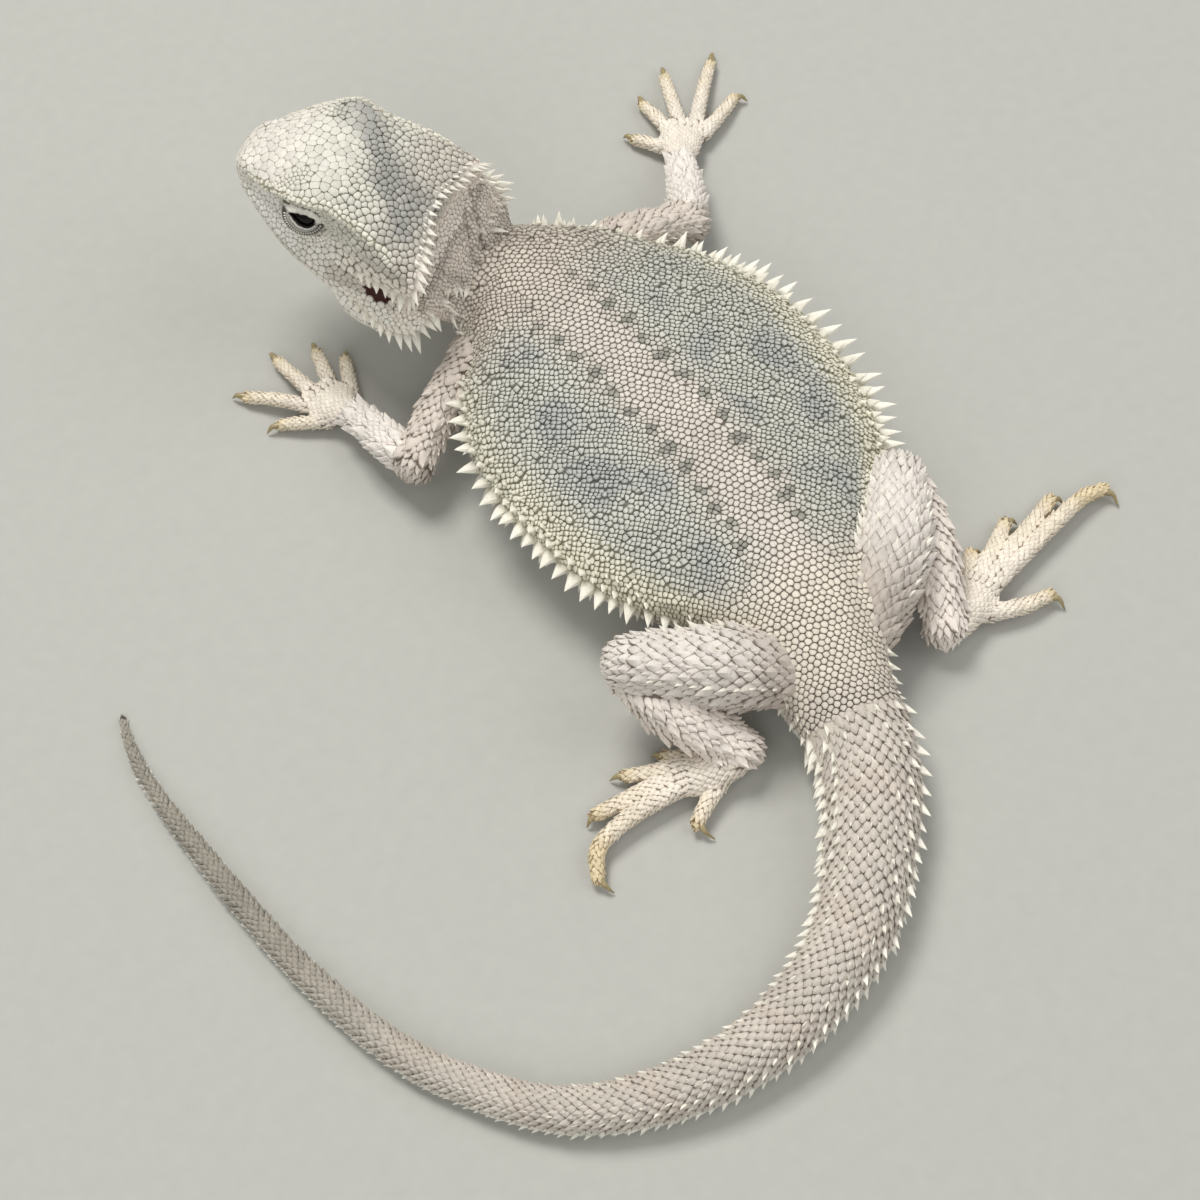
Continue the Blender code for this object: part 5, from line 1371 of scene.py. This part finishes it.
def inHollow(points):
    # whether a place lies in an eye socket, ear, nostril or the line of the mouth
    place = folded(toHead(points))
    inSocket = np.linalg.norm(place - eyeSizes["place"], axis=1) < eyeSizes["socket"] + 0.12
    line = np.abs(place[:, 2] - mouthHeight(place[:, 0])) < headSizes["mouthRadius"]
    inMouth = line & (place[:, 0] > -2.5) & (np.linalg.norm(place, axis=1) < 36)
    return inSocket | (hollowGap(place, "ear") < 1.2) | (hollowGap(place, "nostril") < 1.0) | inMouth


def headBed():
    # chosen rows first, on the lips, brows and round the eyes, then the rest filled in by spacing
    lip, brow, rows = headScaleSizes["lip"], headScaleSizes["brow"], []
    for side in (1, -1):
        for shift, first, last in ((1.15, -3.0, 29.3), (-1.15, -3.0, 29.0)):
            forward = np.arange(first, last, lip)
            rows.append((lip, np.column_stack([forward, side * railAt(forward, 6),
                                               mouthHeight(forward) + shift])))
        forward = np.arange(-8.0, 24.0, brow)
        rows.append((brow, np.column_stack([forward, side * railAt(forward, 2), railAt(forward, 3)])))
        for ring, gap in enumerate(headScaleSizes["lidRing"]):
            radius = eyeSizes["socket"] + 0.45 + ring * 0.95
            rows.append((gap, roundEye(side, np.arange(0, 2 * math.pi, gap / radius), radius,
                                       3.0 - ring * 0.9)))
    corners = skinCorners[isHead(toHead(skinCorners.mean(axis=1)))]
    extra = toHead(scatter(corners, 9, np.random.default_rng(71)))
    places = np.vstack([*[places for _, places in rows], extra])
    gaps = np.concatenate([*[np.full(len(places), gap) for gap, places in rows], headGap(extra)])
    bed = onSkin(newBed("head", 0.0, 0.0, fromHead(places), gaps, -turnHead[:, 0]), 1.6)
    bed = pick(bed, spread(bed["point"], bed["gap"], 0.87))
    return pick(bed, ~inHollow(bed["point"]))


def fillGaps(bed, seed):
    # scales for the bare places that are left between the beds, each like its nearest neighbour
    spots = scatter(skinCorners, 4, np.random.default_rng(seed))
    spots = spots[~inHollow(spots)]
    nearest, distance = nearestOf(treeOf(bed["point"]), spots)
    gap = np.minimum(bed["gap"][nearest], 2.2)
    bare = distance > 0.74 * gap
    spots, nearest, gap = spots[bare], nearest[bare], gap[bare]
    chosen = spread(spots, gap, 0.8)
    made = pick(bed, nearest[chosen])
    made["point"], made["gap"], made["rise"] = spots[chosen], gap[chosen], np.full(len(chosen), 0.85)
    made["out"] = unit(skinNormals[nearestOf(skinNear, toScene(made["point"]))[0]])
    made["along"] = alongSurface(made["along"], made["out"])
    return made


headSeeds = headBed()
body = pick(body, nearestOf(treeOf(headSeeds["point"]), body["point"])[1] > 0.95)
for index, bed in enumerate((body, limbs, headSeeds)):
    bed["group"] = np.full(len(bed["at"]), index)
everything = joinBeds([body, limbs, headSeeds])
everything = joinBeds([everything, fillGaps(everything, 72)])
body, limbs, headSeeds = (pick(everything, everything["group"] == index) for index in range(3))
print("beds with the gaps filled:", len(body["at"]), len(limbs["at"]), len(headSeeds["at"]))

allPlaces = np.vstack([body["point"], limbs["point"], headSeeds["point"]])
placeTree = treeOf(allPlaces)

f, y, z = folded(toHead(headSeeds["point"])).T
temple = (f < -4.0) & (z > -4.0) & (z < 5.5) & (y > 16.0)
headSeeds["rise"] = np.where(temple, 1.5, headSeeds["rise"])
headSeeds["rise"] = np.where((f < 4.0) & (z > 6.0), 1.3, headSeeds["rise"])
plates = (headSeeds["gap"] > 1.9) & ~temple
grow("scales_temple", pick(headSeeds, temple), "cobble", 0.5, 94, lean=0.2, most=0.9)
grow("scales_head_plates", pick(headSeeds, plates), "plate", 0.24, 81, margin=0.005, most=0.9)
grow("scales_head_pebbles", pick(headSeeds, ~plates & ~temple), "grain", 0.46, 82, margin=0.01, most=0.9)

isNeck = body["form"] == formNames.index("neck")
isLeft = np.cos(body["angle"]) > 0
flank = ~isNeck & np.isin(body["kind"], (1, 2))
back = ~isNeck & (body["kind"] == 3)
grow("scales_neck", pick(body, isNeck), "pebble", 0.34, 83, "grey_scales", margin=0.02)
rows = {"lean": 0.28, "margin": 0.0, "most": 0.85, "rowLine": 0.06}
grow("scales_flank_left", pick(body, flank & isLeft), "pebble", 0.5, 84, "grey_scales", **rows)
grow("scales_flank_right", pick(body, flank & ~isLeft), "pebble", 0.5, 85, "grey_scales", **rows)
rows = {"lean": 0.34, "margin": 0.0, "most": 0.8, "rowLine": 0.05}
grow("scales_back", pick(body, back), "cobble", 0.46, 86, "grey_scales", **rows)
grow("scales_belly", pick(body, ~isNeck & ~flank & ~back), "pebble", 0.2, 87, "grey_scales")

names = np.array([formNames[index] for index in limbs["form"]])
isTail = names == "trunk"
isEnd = np.char.startswith(names, "hand") | np.char.startswith(names, "foot")
keeled = (1.18, 1.1)
grow("scales_tail", pick(limbs, isTail), "keel", 0.95, 88, aspect=keeled, lean=0.1)
grow("scales_limbs", pick(limbs, ~isTail & ~isEnd), "keel", 0.92, 89, aspect=keeled, lean=0.1)
grow("scales_hands", pick(limbs, isEnd), "keel", 0.5, 90, aspect=keeled, lean=0.08)
print("scales grown")

# rows on a form: first station and angle, last station and angle, count, length, width,
# then how far they lean along the form and up beside straight out; a limb's rows are its left one's
spineRows = {
    "trunk": (
        (1.25, 180, 8.9, 181, 28, 6.4, 4.9, 0.1, 0.5),
        (1.35, 0, 8.8, -1, 25, 6.4, 4.9, 0.1, 0.5),
        (1.6, 171, 8.5, 170, 27, 3.6, 3.6, 0.25, 0.5),
        (1.7, 9, 8.4, 10, 25, 3.6, 3.6, 0.25, 0.5),
        (1.5, 162, 8.3, 161, 30, 1.9, 2.7, 0.4, 0.4),
        (1.6, 18, 8.2, 19, 28, 1.9, 2.7, 0.4, 0.4),
        (1.3, 186, 8.9, 187, 34, 3.0, 2.5, 0.2, 0.0),
        (1.4, -6, 8.8, -7, 30, 3.0, 2.5, 0.2, 0.0),
        (0.85, 162, 1.35, 160, 3, 5.0, 3.2, -0.5, 0.7),
        (0.75, 172, 1.15, 172, 2, 4.2, 3.0, -0.3, 0.5),
        (0.7, 154, 1.5, 150, 5, 2.4, 2.4, -0.2, 0.5),
        (0.5, 10, 1.1, 12, 3, 3.8, 2.8, -0.1, 0.5),
        (9.0, 178, 12.5, 178, 11, 3.2, 2.9, 0.6, 0.2),
        (9.0, 2, 12.5, 2, 11, 3.2, 2.9, 0.6, 0.2),
        (9.2, 164, 12.5, 160, 11, 1.8, 2.4, 0.8, 0.2),
        (9.2, 16, 12.5, 20, 11, 1.8, 2.4, 0.8, 0.2),
    ),
    "neck": (
        (1.2, 172, 2.9, 172, 7, 4.4, 3.4, 0.5, 0.1),
        (1.5, 158, 3.0, 156, 6, 2.6, 2.8, 0.6, 0.1),
        (2.3, 146, 3.0, 140, 4, 1.8, 2.2, 0.7, 0.1),
    ),
    "thigh": (
        (0.5, 150, 1.8, 150, 10, 2.8, 2.7, 0.8, 0.2),
        (0.6, 95, 1.7, 95, 7, 1.7, 2.3, 1.1, 0.0),
        (0.5, 122, 1.8, 122, 8, 1.9, 2.4, 1.1, 0.0),
        (0.4, 35, 1.8, 35, 10, 3.0, 2.8, 0.8, 0.2),
        (0.5, 62, 1.8, 62, 8, 1.9, 2.4, 1.1, 0.0),
    ),
    "shank": ((0.2, 165, 1.8, 170, 9, 2.8, 2.6, 0.7, 0.1), (0.3, 120, 1.7, 125, 7, 1.6, 2.1, 1.0, 0.0)),
    "upper_arm": ((0.7, 165, 1.9, 165, 8, 2.0, 2.1, 0.8, 0.1),),
    "forearm": ((0.2, 10, 1.5, 10, 7, 1.5, 1.8, 0.8, 0.1),),
}

# on the left of the head, mirrored to the right: path, count, first and last length, width,
# and the way the first and the last lean beside straight out
headSpineRows = (
    ("both", ((-19.1, 0.6, 11.0), (-19.2, 3.9, 11.0), (-20.5, 6.6, 10.1), (-21.6, 9.1, 9.1),
              (-22.2, 12.3, 8.6), (-22.7, 15.8, 8.2),
              (-23.9, 18.5, 6.6), (-24.0, 20.8, 3.8)), 11, 2.3, 4.2, 3.1, (-1.6, 0.0, -0.3),
              (-0.8, 0.8, -0.5)),
    ("both", ((-18.0, 3.0, 12.0), (-20.4, 9.4, 10.6), (-21.4, 16.0, 9.2)), 8, 1.2, 1.8, 2.2,
     (-1.8, 0.1, -0.2), (-1.4, 0.5, -0.2)),
    ("both", ((-5.5, 18.7, -1.6), (-8.2, 19.0, -1.4), (-12.6, 19.2, -0.5), (-17.0, 19.4, -0.4),
              (-21.6, 19.8, -0.8)), 8, 1.9, 4.3, 3.4,
     (-0.9, 0.5, -0.2), (-0.5, 1.3, -0.5)),
    ("both", ((-24.0, 20.9, 1.4), (-23.4, 20.4, -0.8)), 2, 4.2, 4.6, 3.2, (-0.6, 0.8, -0.8),
     (-0.6, 0.9, -0.9)),
    ("both", ((-9.9, 20.8, -10.6), (-12.5, 21.5, -11.5), (-15.7, 22.3, -12.3), (-21.6, 23.1, -13.3),
              (-24.2, 22.9, -13.8),
              (-28.0, 20.0, -14.8)), 9, 2.4, 4.9, 3.2, (-0.5, 0.3, -0.3), (-0.3, 0.4, -0.4)),
    ("both", ((-8.0, 20.6, -9.6), (-15.0, 22.2, -10.9), (-22.0, 23.0, -11.6), (-27.0, 21.0, -12.4)), 10, 1.5,
     3.0, 2.5,
     (-0.6, 0.2, 0.0), (-0.4, 0.3, 0.0)),
    ("both", ((-7.0, 20.6, -8.2), (-15.0, 21.8, -9.2), (-24.0, 22.0, -9.8)), 11, 0.9, 1.8, 1.9,
     (-0.8, 0.2, 0.1), (-0.6, 0.2, 0.1)),
    ("both", ((-28.4, 18.6, -12.4), (-30.0, 15.0, -11.4)), 3, 4.6, 4.2, 3.2, (-0.7, 0.5, -0.3),
     (-0.9, 0.3, -0.2)),
    ("both", ((-26.0, 20.8, -10.2), (-28.8, 16.5, -9.4), (-30.2, 12.0, -8.6)), 5, 2.0, 2.2, 2.4,
     (-0.9, 0.4, 0.1), (-1.0, 0.2, 0.2)),
    ("both", ((-13.0, 3.5, -18.4), (-18.0, 17.0, -17.6)), 7, 1.8, 3.0, 2.4, (-0.9, 0.0, -0.3),
     (-0.9, 0.0, -0.3)),
    ("both", ((-8.0, 2.0, -18.6), (-10.0, 16.0, -16.4)), 8, 1.3, 2.2, 2.1, (-1.0, 0.0, -0.3),
     (-1.0, 0.0, -0.3)),
    ("both", ((-20.0, 3.0, -17.8), (-23.0, 18.0, -15.6)), 7, 1.8, 3.2, 2.4, (-0.9, 0.0, -0.3),
     (-0.9, 0.0, -0.3)),
    # collar on the left, over the shoulder
    ("left", ((-30.4, 8.6, -7.6), (-32.0, 6.6, -8.4), (-34.5, 4.9, -10.2)), 4, 2.4, 3.0, 2.2,
     (0.1, 1.2, -0.8), (-0.2, 0.9, -0.6)),
    ("left", ((-29.8, 9.6, -7.0), (-31.2, 7.6, -7.4), (-33.2, 5.4, -8.8)), 5, 1.2, 1.4, 1.7,
     (0.0, 0.9, -0.6), (-0.2, 0.7, -0.4)),
    ("left", ((-31.3, 12.5, -8.3), (-33.0, 11.5, -10.5), (-34.1, 12.4, -12.4)), 3, 2.6, 3.6, 2.7,
     (-0.6, 0.2, -0.3), (-0.4, 0.5, -0.4)),
    ("left", ((-36.0, 9.5, -13.5), (-37.4, 11.7, -16.6)), 3, 1.8, 2.0, 1.8, (-0.3, 0.6, -0.2),
     (-0.2, 0.6, -0.2)),
)

# how deep a root goes, thickness to width, height over the floor
spineSizes = {"sunk": 0.9, "flat": 0.62, "clear": 0.4}


def spineSeats(name, rows, draw):
    form = forms[name]
    beds = []
    for first, firstTurn, last, lastTurn, count, length, width, along, rise in rows:
        share = np.arange(count) / max(count - 1, 1)
        at = first + (last - first) * share
        angle = np.radians(firstTurn + (lastTurn - firstTurn) * share + draw.uniform(-2.0, 2.0, count))
        size = (0.76 + 0.24 * np.sin(math.pi * share)) * draw.uniform(0.86, 1.12, count)
        tangent = formFrame(form, at)[3]
        bed = newBed(name, at, angle, formPoint(form, at, angle), width, tangent)
        lean = formNormal(form, at, angle) + tangent * along + np.array((0.0, 0.0, rise))
        beds.append({**bed, "lean": unit(lean), "length": length * size, "width": width * size,
                     "wide": tangent})
    return beds


def tailSeats(draw):
    # rings of raised spines on the tail, largest at its sides
    form = forms["trunk"]
    beds = []
    steps = np.linspace(trunkSizes["tail"] + 0.15, 24.8, 300)
    run = runLength(readRows(form["rows"], steps)[:, :3])
    here, odd = 0.0, 0
    while here < run[-1]:
        at = float(np.interp(here, run, steps))
        half = float(formFrame(form, at)[4][0, 0])
        count = int(np.clip(half * 0.8, 2, 8)) + odd
        turn = np.radians(90 + np.linspace(-108, 108, count) + draw.uniform(-4, 4, count))
        spots = np.full(count, at)
        tangent = formFrame(form, spots)[3]
        edge = np.abs(np.cos(turn))
        size = (0.4 + 0.7 * edge**2) * draw.uniform(0.85, 1.12, count)
        lean = formNormal(form, spots, turn) * (0.75 + 0.35 * edge[:, None]) + tangent * (1.15 - 0.4
                                                                                          * edge[:, None])
        bed = newBed("trunk", spots, turn, formPoint(form, spots, turn), 2.0, tangent)
        beds.append({**bed, "lean": unit(lean), "length": (0.8 + 0.24 * half) * size,
                     "width": (1.15 + 0.2 * half) * (0.35 + 0.65 * size), "wide": tangent})
        here += 1.6 + 0.2 * half
        odd = 1 - odd
    return beds


def headSeats(draw):
    beds = []
    for sides, path, count, short, long, width, firstLean, lastLean in headSpineRows:
        path = np.array(path, float)
        run = runLength(path)
        share = np.arange(count) / max(count - 1, 1)
        row = np.column_stack([np.interp(share * run[-1], run, path[:, axis]) for axis in range(3)])
        lean = np.array(firstLean) * (1 - share[:, None]) + np.array(lastLean) * share[:, None]
        for side in (1, -1) if sides == "both" else (1,):
            mirror = np.array((1.0, side, 1.0))
            bed = onSkin(newBed("head", share, 0.0, fromHead(row * mirror), width, -turnHead[:, 0]), 4.0)
            kept = bed["at"]
            ways = np.column_stack([np.interp(kept, share, lean[:, axis]) for axis in range(3)]) * mirror
            scale = draw.uniform(0.9, 1.1, len(kept))
            wide = unit(np.gradient(bed["point"], axis=0) if len(kept) > 1 else bed["along"])
            beds.append({**bed, "lean": unit(bed["out"] + ways @ turnHead.T), "wide": wide,
                         "length": (short + (long - short) * kept) * scale,
                         "width": width * (0.8 + 0.2 * kept) * scale})
    return beds


def growSpines(name, beds, seed, bend):
    draw = np.random.default_rng(seed)
    bed = joinBeds(beds)
    rows, root, _ = underSkin(bed["point"], 1.2)
    bed = pick(bed, rows)
    # a point that would go through the floor is turned up
    low = np.minimum(root[:, 2] + bed["lean"][:, 2] * bed["length"] - spineSizes["clear"], 0.0)
    lean = unit(bed["lean"] - np.array((0.0, 0.0, 1.0)) * (low / bed["length"])[:, None])
    shape = spineShape[0]
    thick = unit(np.cross(bed["wide"] + 0.01, lean))
    across = np.cross(lean, thick)
    length, half = bed["length"] + spineSizes["sunk"], bed["width"][:, None] / 2
    height = shape[:, 2] * length[:, None] - spineSizes["sunk"]
    # the point turns back along the body
    curve = shape[:, 2] ** 2 * (length * bend * draw.uniform(0.5, 1.4, len(length)))[:, None]
    points = (
        root[:, None]
        + lean[:, None] * height[..., None]
        + bed["along"][:, None] * curve[..., None]
        + across[:, None] * (shape[:, 0] * half)[..., None]
        + thick[:, None] * (shape[:, 1] * half * spineSizes["flat"])[..., None]
    )
    tone = paint(bed)
    foot = tone[:, 1] * 0.6 + tone[:, 0] * 0.4
    tip = tones["spine"][0] * draw.uniform(0.94, 1.03, len(length))[:, None]
    share = step(shape[:, 2], 0.1, 0.55)[None, :, None]
    tints = foot[:, None] * (1 - share) + tip[:, None] * share
    piece = dress(stampMesh(name, bed, spineShape, points, tints), spineHorn)
    print(name, len(piece.data.polygons), "triangles")


draw = np.random.default_rng(41)
seats = []
for name, rows in spineRows.items():
    if name in forms:
        seats += spineSeats(name, rows, draw)
    else:
        mirrored = [(first, 180 - turn, last, 180 - lastTurn, *rest) for first, turn, last, lastTurn,
                    *rest in rows]
        seats += spineSeats(name + "_left", rows, draw) + spineSeats(name + "_right", mirrored, draw)
growSpines("spines_body", seats + tailSeats(draw), 91, 0.16)
growSpines("spines_head", headSeats(draw), 92, 0.1)
print("spines grown")


def nearestForm(points):
    # each place as a row of a bed, by the form, station and angle nearest to it
    samples, owners = [], []
    for index, form in enumerate(forms.values()):
        at = np.linspace(0.0, form["last"], max(8, int(form["last"] * 8)))
        turn = np.linspace(0.0, 2 * math.pi, 24, endpoint=False)
        grid = np.array(np.meshgrid(at, turn)).reshape(2, -1)
        samples.append(np.column_stack([formPoint(form, grid[0], grid[1]), grid.T]))
        owners.append(np.full(grid.shape[1], index))
    for at in np.linspace(0.0, len(headRails) - 1, 46):
        ring = fromHead(headRing(at)[::2])
        samples.append(np.column_stack([ring, np.zeros((len(ring), 2))]))
        owners.append(np.full(len(ring), headForm))
    samples, owners = np.vstack(samples), np.concatenate(owners)
    index = nearestOf(treeOf(samples[:, :3]), points)[0]
    return {"form": owners[index], "at": samples[index, 3], "angle": samples[index, 4], "point": points}


def paintSkin():
    # the line colour of the markings, with painted shade darkening it in the eye sockets, ear openings and
    # nostrils
    places = skinPoints / mm + middle
    inHead = folded(toHead(places))
    tone = paint(nearestForm(places))[:, 1] * 0.9
    # painted shade deep in the eye sockets
    eyeGap = np.linalg.norm(inHead - eyeSizes["place"], axis=1)
    dark = 1 - step(eyeGap, eyeSizes["socket"] - 0.4, eyeSizes["socket"] + 0.5)
    tone = tone * (1 - 0.8 * dark[:, None])
    # painted shade in the ear openings and the nostrils
    tone = np.where((hollowGap(inHead, "ear") < 1.08)[:, None], linear("#4a2219") * 0.8, tone)
    tone = np.where((hollowGap(inHead, "nostril") < 0.95)[:, None], linear("#2c221c"), tone)
    tintPoints(skin.data, tone)


paintSkin()
skin.data.polygons.foreach_set("use_smooth", np.ones(len(skin.data.polygons), bool))
dress(skin, skinSoft)
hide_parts(*[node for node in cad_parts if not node.startswith(("claw", "eye"))])
print("skin painted")


def lidProfile(turn):
    # radius of the opening in each direction round its middle
    outline = np.array(eyeSizes["opening"])
    angle = np.unwrap(np.arctan2(outline[:, 1], outline[:, 0]))
    angle = np.concatenate([angle - 2 * math.pi, angle, angle + 2 * math.pi])
    return np.interp(turn, angle, np.tile(np.hypot(outline[:, 0], outline[:, 1]), 3))


def buildLids():
    # a thick ring of lid round each eye, from behind its equator over the rim and back inside
    lid, ball, behind = eyeSizes["lid"], eyeSizes["ball"] + 0.02, math.radians(104)
    turn = np.linspace(0.0, 2 * math.pi, eyeSizes["around"], endpoint=False)
    opening = lidProfile(turn)
    edge = np.arcsin((np.roll(opening, 1) + opening * 2 + np.roll(opening, -1)) / 4 / lid)
    upper = step(np.sin(turn), 0.1, 0.7)
    rings = []
    for share in np.linspace(0.0, 1.0, 15):
        swell = 0.30 * upper * np.exp(-((share - 0.93) / 0.1) ** 2) - 0.2 * np.exp(


                                                                                   -((share - 0.68) / 0.05) ** 2)
        rings.append((behind * (1 - share) + edge * share, lid + swell))
    for fall in (0.25, 0.6, 0.9):
        rings.append((edge - 0.012 * (1 - fall), lid - fall * (lid - ball)))
    for share in (0.25, 0.6, 1.0):
        rings.append((edge * (1 - share) + behind * share, ball))
    bm = bmesh.new()
    for side in (1, -1):
        loops = [roundEye(side, turn, radius * np.sin(lean), radius * np.cos(lean)) for lean, radius in rings]
        wrapInto(bm, [toScene(fromHead(loop)) for loop in loops], closed=True)
    return fromBmesh("eyelids", bm)


def paintLids(lids):
    # pale above and grey below, with a dark rim at the opening, partly the lids' own dark edge and partly
    # painted shade where they turn in, a dark line outside the lower lid, and painted shade on the lids' inner
    # face
    points = toHead(readPoints(lids.data.vertices, "co") / mm + middle)
    pale, grey, rim = linear("#f5f2e8"), linear("#bab7b0"), linear("#2a2621")
    colours = np.zeros((len(points), 3))
    for side in (1, -1):
        mine = np.sign(points[:, 1]) == side
        centre, forward, up, _ = eyeFrame(side)
        off = points[mine] - centre
        x, y = off @ forward, off @ up
        radius = np.hypot(x, y)
        upper = step(y, -0.2, 0.6)[:, None]
        tone = (grey * (1 - upper) + pale * upper) * (1 + 0.09 * waves(points[mine], 0.9, 17))[:, None]
        # dark rim at the opening: partly the lid's own edge, partly painted shade where it turns in
        dark = (1 - step(radius - lidProfile(np.arctan2(y, x)), 0.02, 0.28))[:, None]
        dark = dark * (0.35 + 0.65 * (1 - upper))
        tone = tone * (1 - dark) + rim * dark
        outer = (step(radius, 3.9, 4.1) * (1 - step(radius, 5.3, 5.6)))[:, None] * (1 - upper)
        # painted shade on the inner face of the lids, beside the ball
        innerLidShade = np.linalg.norm(off, axis=1) < eyeSizes["ball"] + 0.5
        colours[mine] = np.where(innerLidShade[:, None], rim * 0.4, tone * (1 - 0.88 * outer))
    tintPoints(lids.data, colours)


# rows of tiny scales on the lids: share of the way out from the opening to the socket, or lean from its
# middle in degrees on the sides, spacing, first and last angle, colours, height
lidRows = (
    (0.1, 0.4, 190, 350, 0, 0.8), (0.3, 0.42, 188, 352, 1, 1.0), (0.58, 0.56, 186, 354, 0, 2.6),
    (0.55, 0.6, 20, 160, 2, 1.25), *[(lean, 0.62, 150, 390, 3, 1.6) for lean in range(66, 98, 5)],
)
lidTones = (("#e9e6da", "#37332e"), ("#b4b3ae", "#7c7b76"), ("#f7f3e7", "#aba79c"), ("#d9d5cb", "#8f8c84"))


def lidBed():
    beds = []
    lid = eyeSizes["lid"]
    for side in (1, -1):
        centre = eyeFrame(side)[0]
        for share, gap, first, last, kind, rise in lidRows:
            onSide = share > 1
            turn = np.radians(np.arange(first, last, math.degrees(gap / (6.0 if onSide else 4.2))))
            edge = lidProfile(turn)
            lean = math.radians(share)
            out = lid * math.sin(lean) if onSide else np.minimum(edge + (5.6 - edge) * share, 5.9)
            depth = lid * math.cos(lean) if onSide else np.sqrt(lid**2 - out**2)
            place = roundEye(side, turn, out, depth)
            way = roundEye(side, turn, 1.0, 0.0) - centre
            bed = newBed("head", 0.0, 0.0, fromHead(place), gap, way @ turnHead.T)
            bed["out"] = unit((place - centre) @ turnHead.T)
            bed["along"] = alongSurface(bed["along"], bed["out"])
            bed["rise"][:], bed["kind"][:] = rise, kind
            beds.append(bed)
    return joinBeds(beds)


lids = buildLids()
lids.data.shade_smooth()
paintLids(lids)
dress(lids, skinSoft)
bed = lidBed()
tone = np.array([[linear(c) for c in pair] for pair in lidTones])[bed["kind"]]
grow("scales_lids", bed, "granule", 0.16, 93, aspect=(1.0, 1.1), bright=0.08, tone=tone)

# cornea over a near-black iris: smooth and wet, one sharp highlight
wet = {"Roughness": 0.05, "IOR": 1.376}
cornea = twoTone("wet_cornea", linear("#050505"), linear("#17110c"), 900.0, 2.0, wet)
for side, name in ((1, "eye_left"), (-1, "eye_right")):
    bm = bmesh.new()
    ellipsoid(bm, eyeFrame(side)[0], (eyeSizes["ball"],) * 3, 48, 32)
    bmesh.ops.recalc_face_normals(bm, faces=bm.faces)
    eye = fromBmesh("ball_" + name, bm)
    eye.data.shade_smooth()
    dress(eye, cornea)
    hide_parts(name)
print("eyes set")

clawSizes = {"root": 0.85, "middle": 0.6, "tip": 0.14, "sunk": 0.8, "lift": 0.15, "arch": 0.95, "reach": 0.5,
             "sides": 12, "rings": 12}

# horn of a claw: hard and smooth, paler and darker by turns every 0.8 mm
hard = {"Roughness": 0.3, "IOR": 1.55}
clawHorn = twoTone("claw_horn", linear("#7d6e4c"), linear("#b9a97f"), 1 / (0.8 * mm), 3.0, hard)
for name, sizes in endSizes.items():
    bm = bmesh.new()
    for points in sizes["digits"]:
        before, end, point = (np.array(p, float) for p in points[-3:])
        forward = unit(end - before)
        start = end - forward * clawSizes["sunk"]
        arch = (end + point) / 2 + np.array((0.0, 0.0, clawSizes["arch"])) + forward * clawSizes["reach"]
        root = (start + arch) / 2 + np.array((0.0, 0.0, clawSizes["lift"]))
        stations = ((start, 1.0), (root, clawSizes["root"]), (arch, clawSizes["middle"]),
                    (point, clawSizes["tip"]))
        form = makeForm([(*place, size, size) for place, size in stations])
        turns = np.linspace(0.0, 2 * math.pi, clawSizes["sides"], endpoint=False)
        spots = np.linspace(0.0, form["last"], clawSizes["rings"])
        wrapInto(bm, [toScene(formPoint(form, np.full(len(turns), at), turns, coat=0.0)) for at in spots])
    claws = fromBmesh("claws_" + name, bm)
    claws.data.shade_smooth()
    dress(claws, clawHorn)
    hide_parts(*["claw_" + name + "_" + str(digit) for digit in range(1, 6)])
print("claws set")

stageSizes = {
    "camera": (0.17351, 0.26687, 0.54392),
    "target": (0.002492, 0.003497, 0.0),
    "lens": 77.97,
    "half": 12.0,        # half the floor, in metres
    "floor": "#b7b7b1",
    # soft lights: name, place, size, power, colour; toward the top left of the view lies +X with -Y
    "lights": (
        ("key", (0.05, -1.1, 2.05), 0.9, 37.0, "#fffdf9"),
        ("fill", (-1.2, 0.7, 1.5), 1.6, 10.0, "#fdfdff"),
        ("front", (1.2, 1.0, 1.5), 1.6, 13.0, "#ffffff"),
    ),
}


def aim(holder, place, target):
    holder.location = place
    holder.rotation_euler = (Vector(target) - Vector(place)).to_track_quat("-Z", "Y").to_euler()


bm = bmesh.new()
bmesh.ops.create_grid(bm, x_segments=1, y_segments=1, size=stageSizes["half"])
floor = fromBmesh("floor", bm)
# painted board: matt, with a faint mottle of 4 mm
grey = linear(stageSizes["floor"])
board = twoTone("matte_floor", grey * 0.95, grey * 1.05, 1 / (4 * mm), 3.0, {"Roughness": 0.8})
floor.data.materials.append(board)

for name, place, size, power, colour in stageSizes["lights"]:
    light = bpy.data.lights.new(name, "AREA")
    light.shape = "SQUARE"
    light.size = size
    light.energy = power
    light.color = linear(colour)
    aim(addObject(name, light), place, (0.0, 0.0, 0.0))
world = bpy.data.worlds.new("studio")
bpy.context.scene.world = world
world.use_nodes = True
background = world.node_tree.nodes["Background"].inputs
background["Color"].default_value = (*linear("#ededea"), 1.0)
background["Strength"].default_value = 0.33
bpy.context.scene.view_settings.view_transform = "Standard"

camera = bpy.data.cameras.new("camera")
camera.sensor_width = 36.0
camera.lens = stageSizes["lens"]
cameraHolder = addObject("camera", camera)
aim(cameraHolder, stageSizes["camera"], stageSizes["target"])
bpy.context.scene.camera = cameraHolder
print("stage set")

meshes = [piece for piece in bpy.context.scene.objects if piece.type == "MESH"]
pieces = [piece for piece in meshes if piece.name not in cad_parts]
print("triangles in all:", sum(len(p.vertices) - 2 for piece in pieces for p in piece.data.polygons))
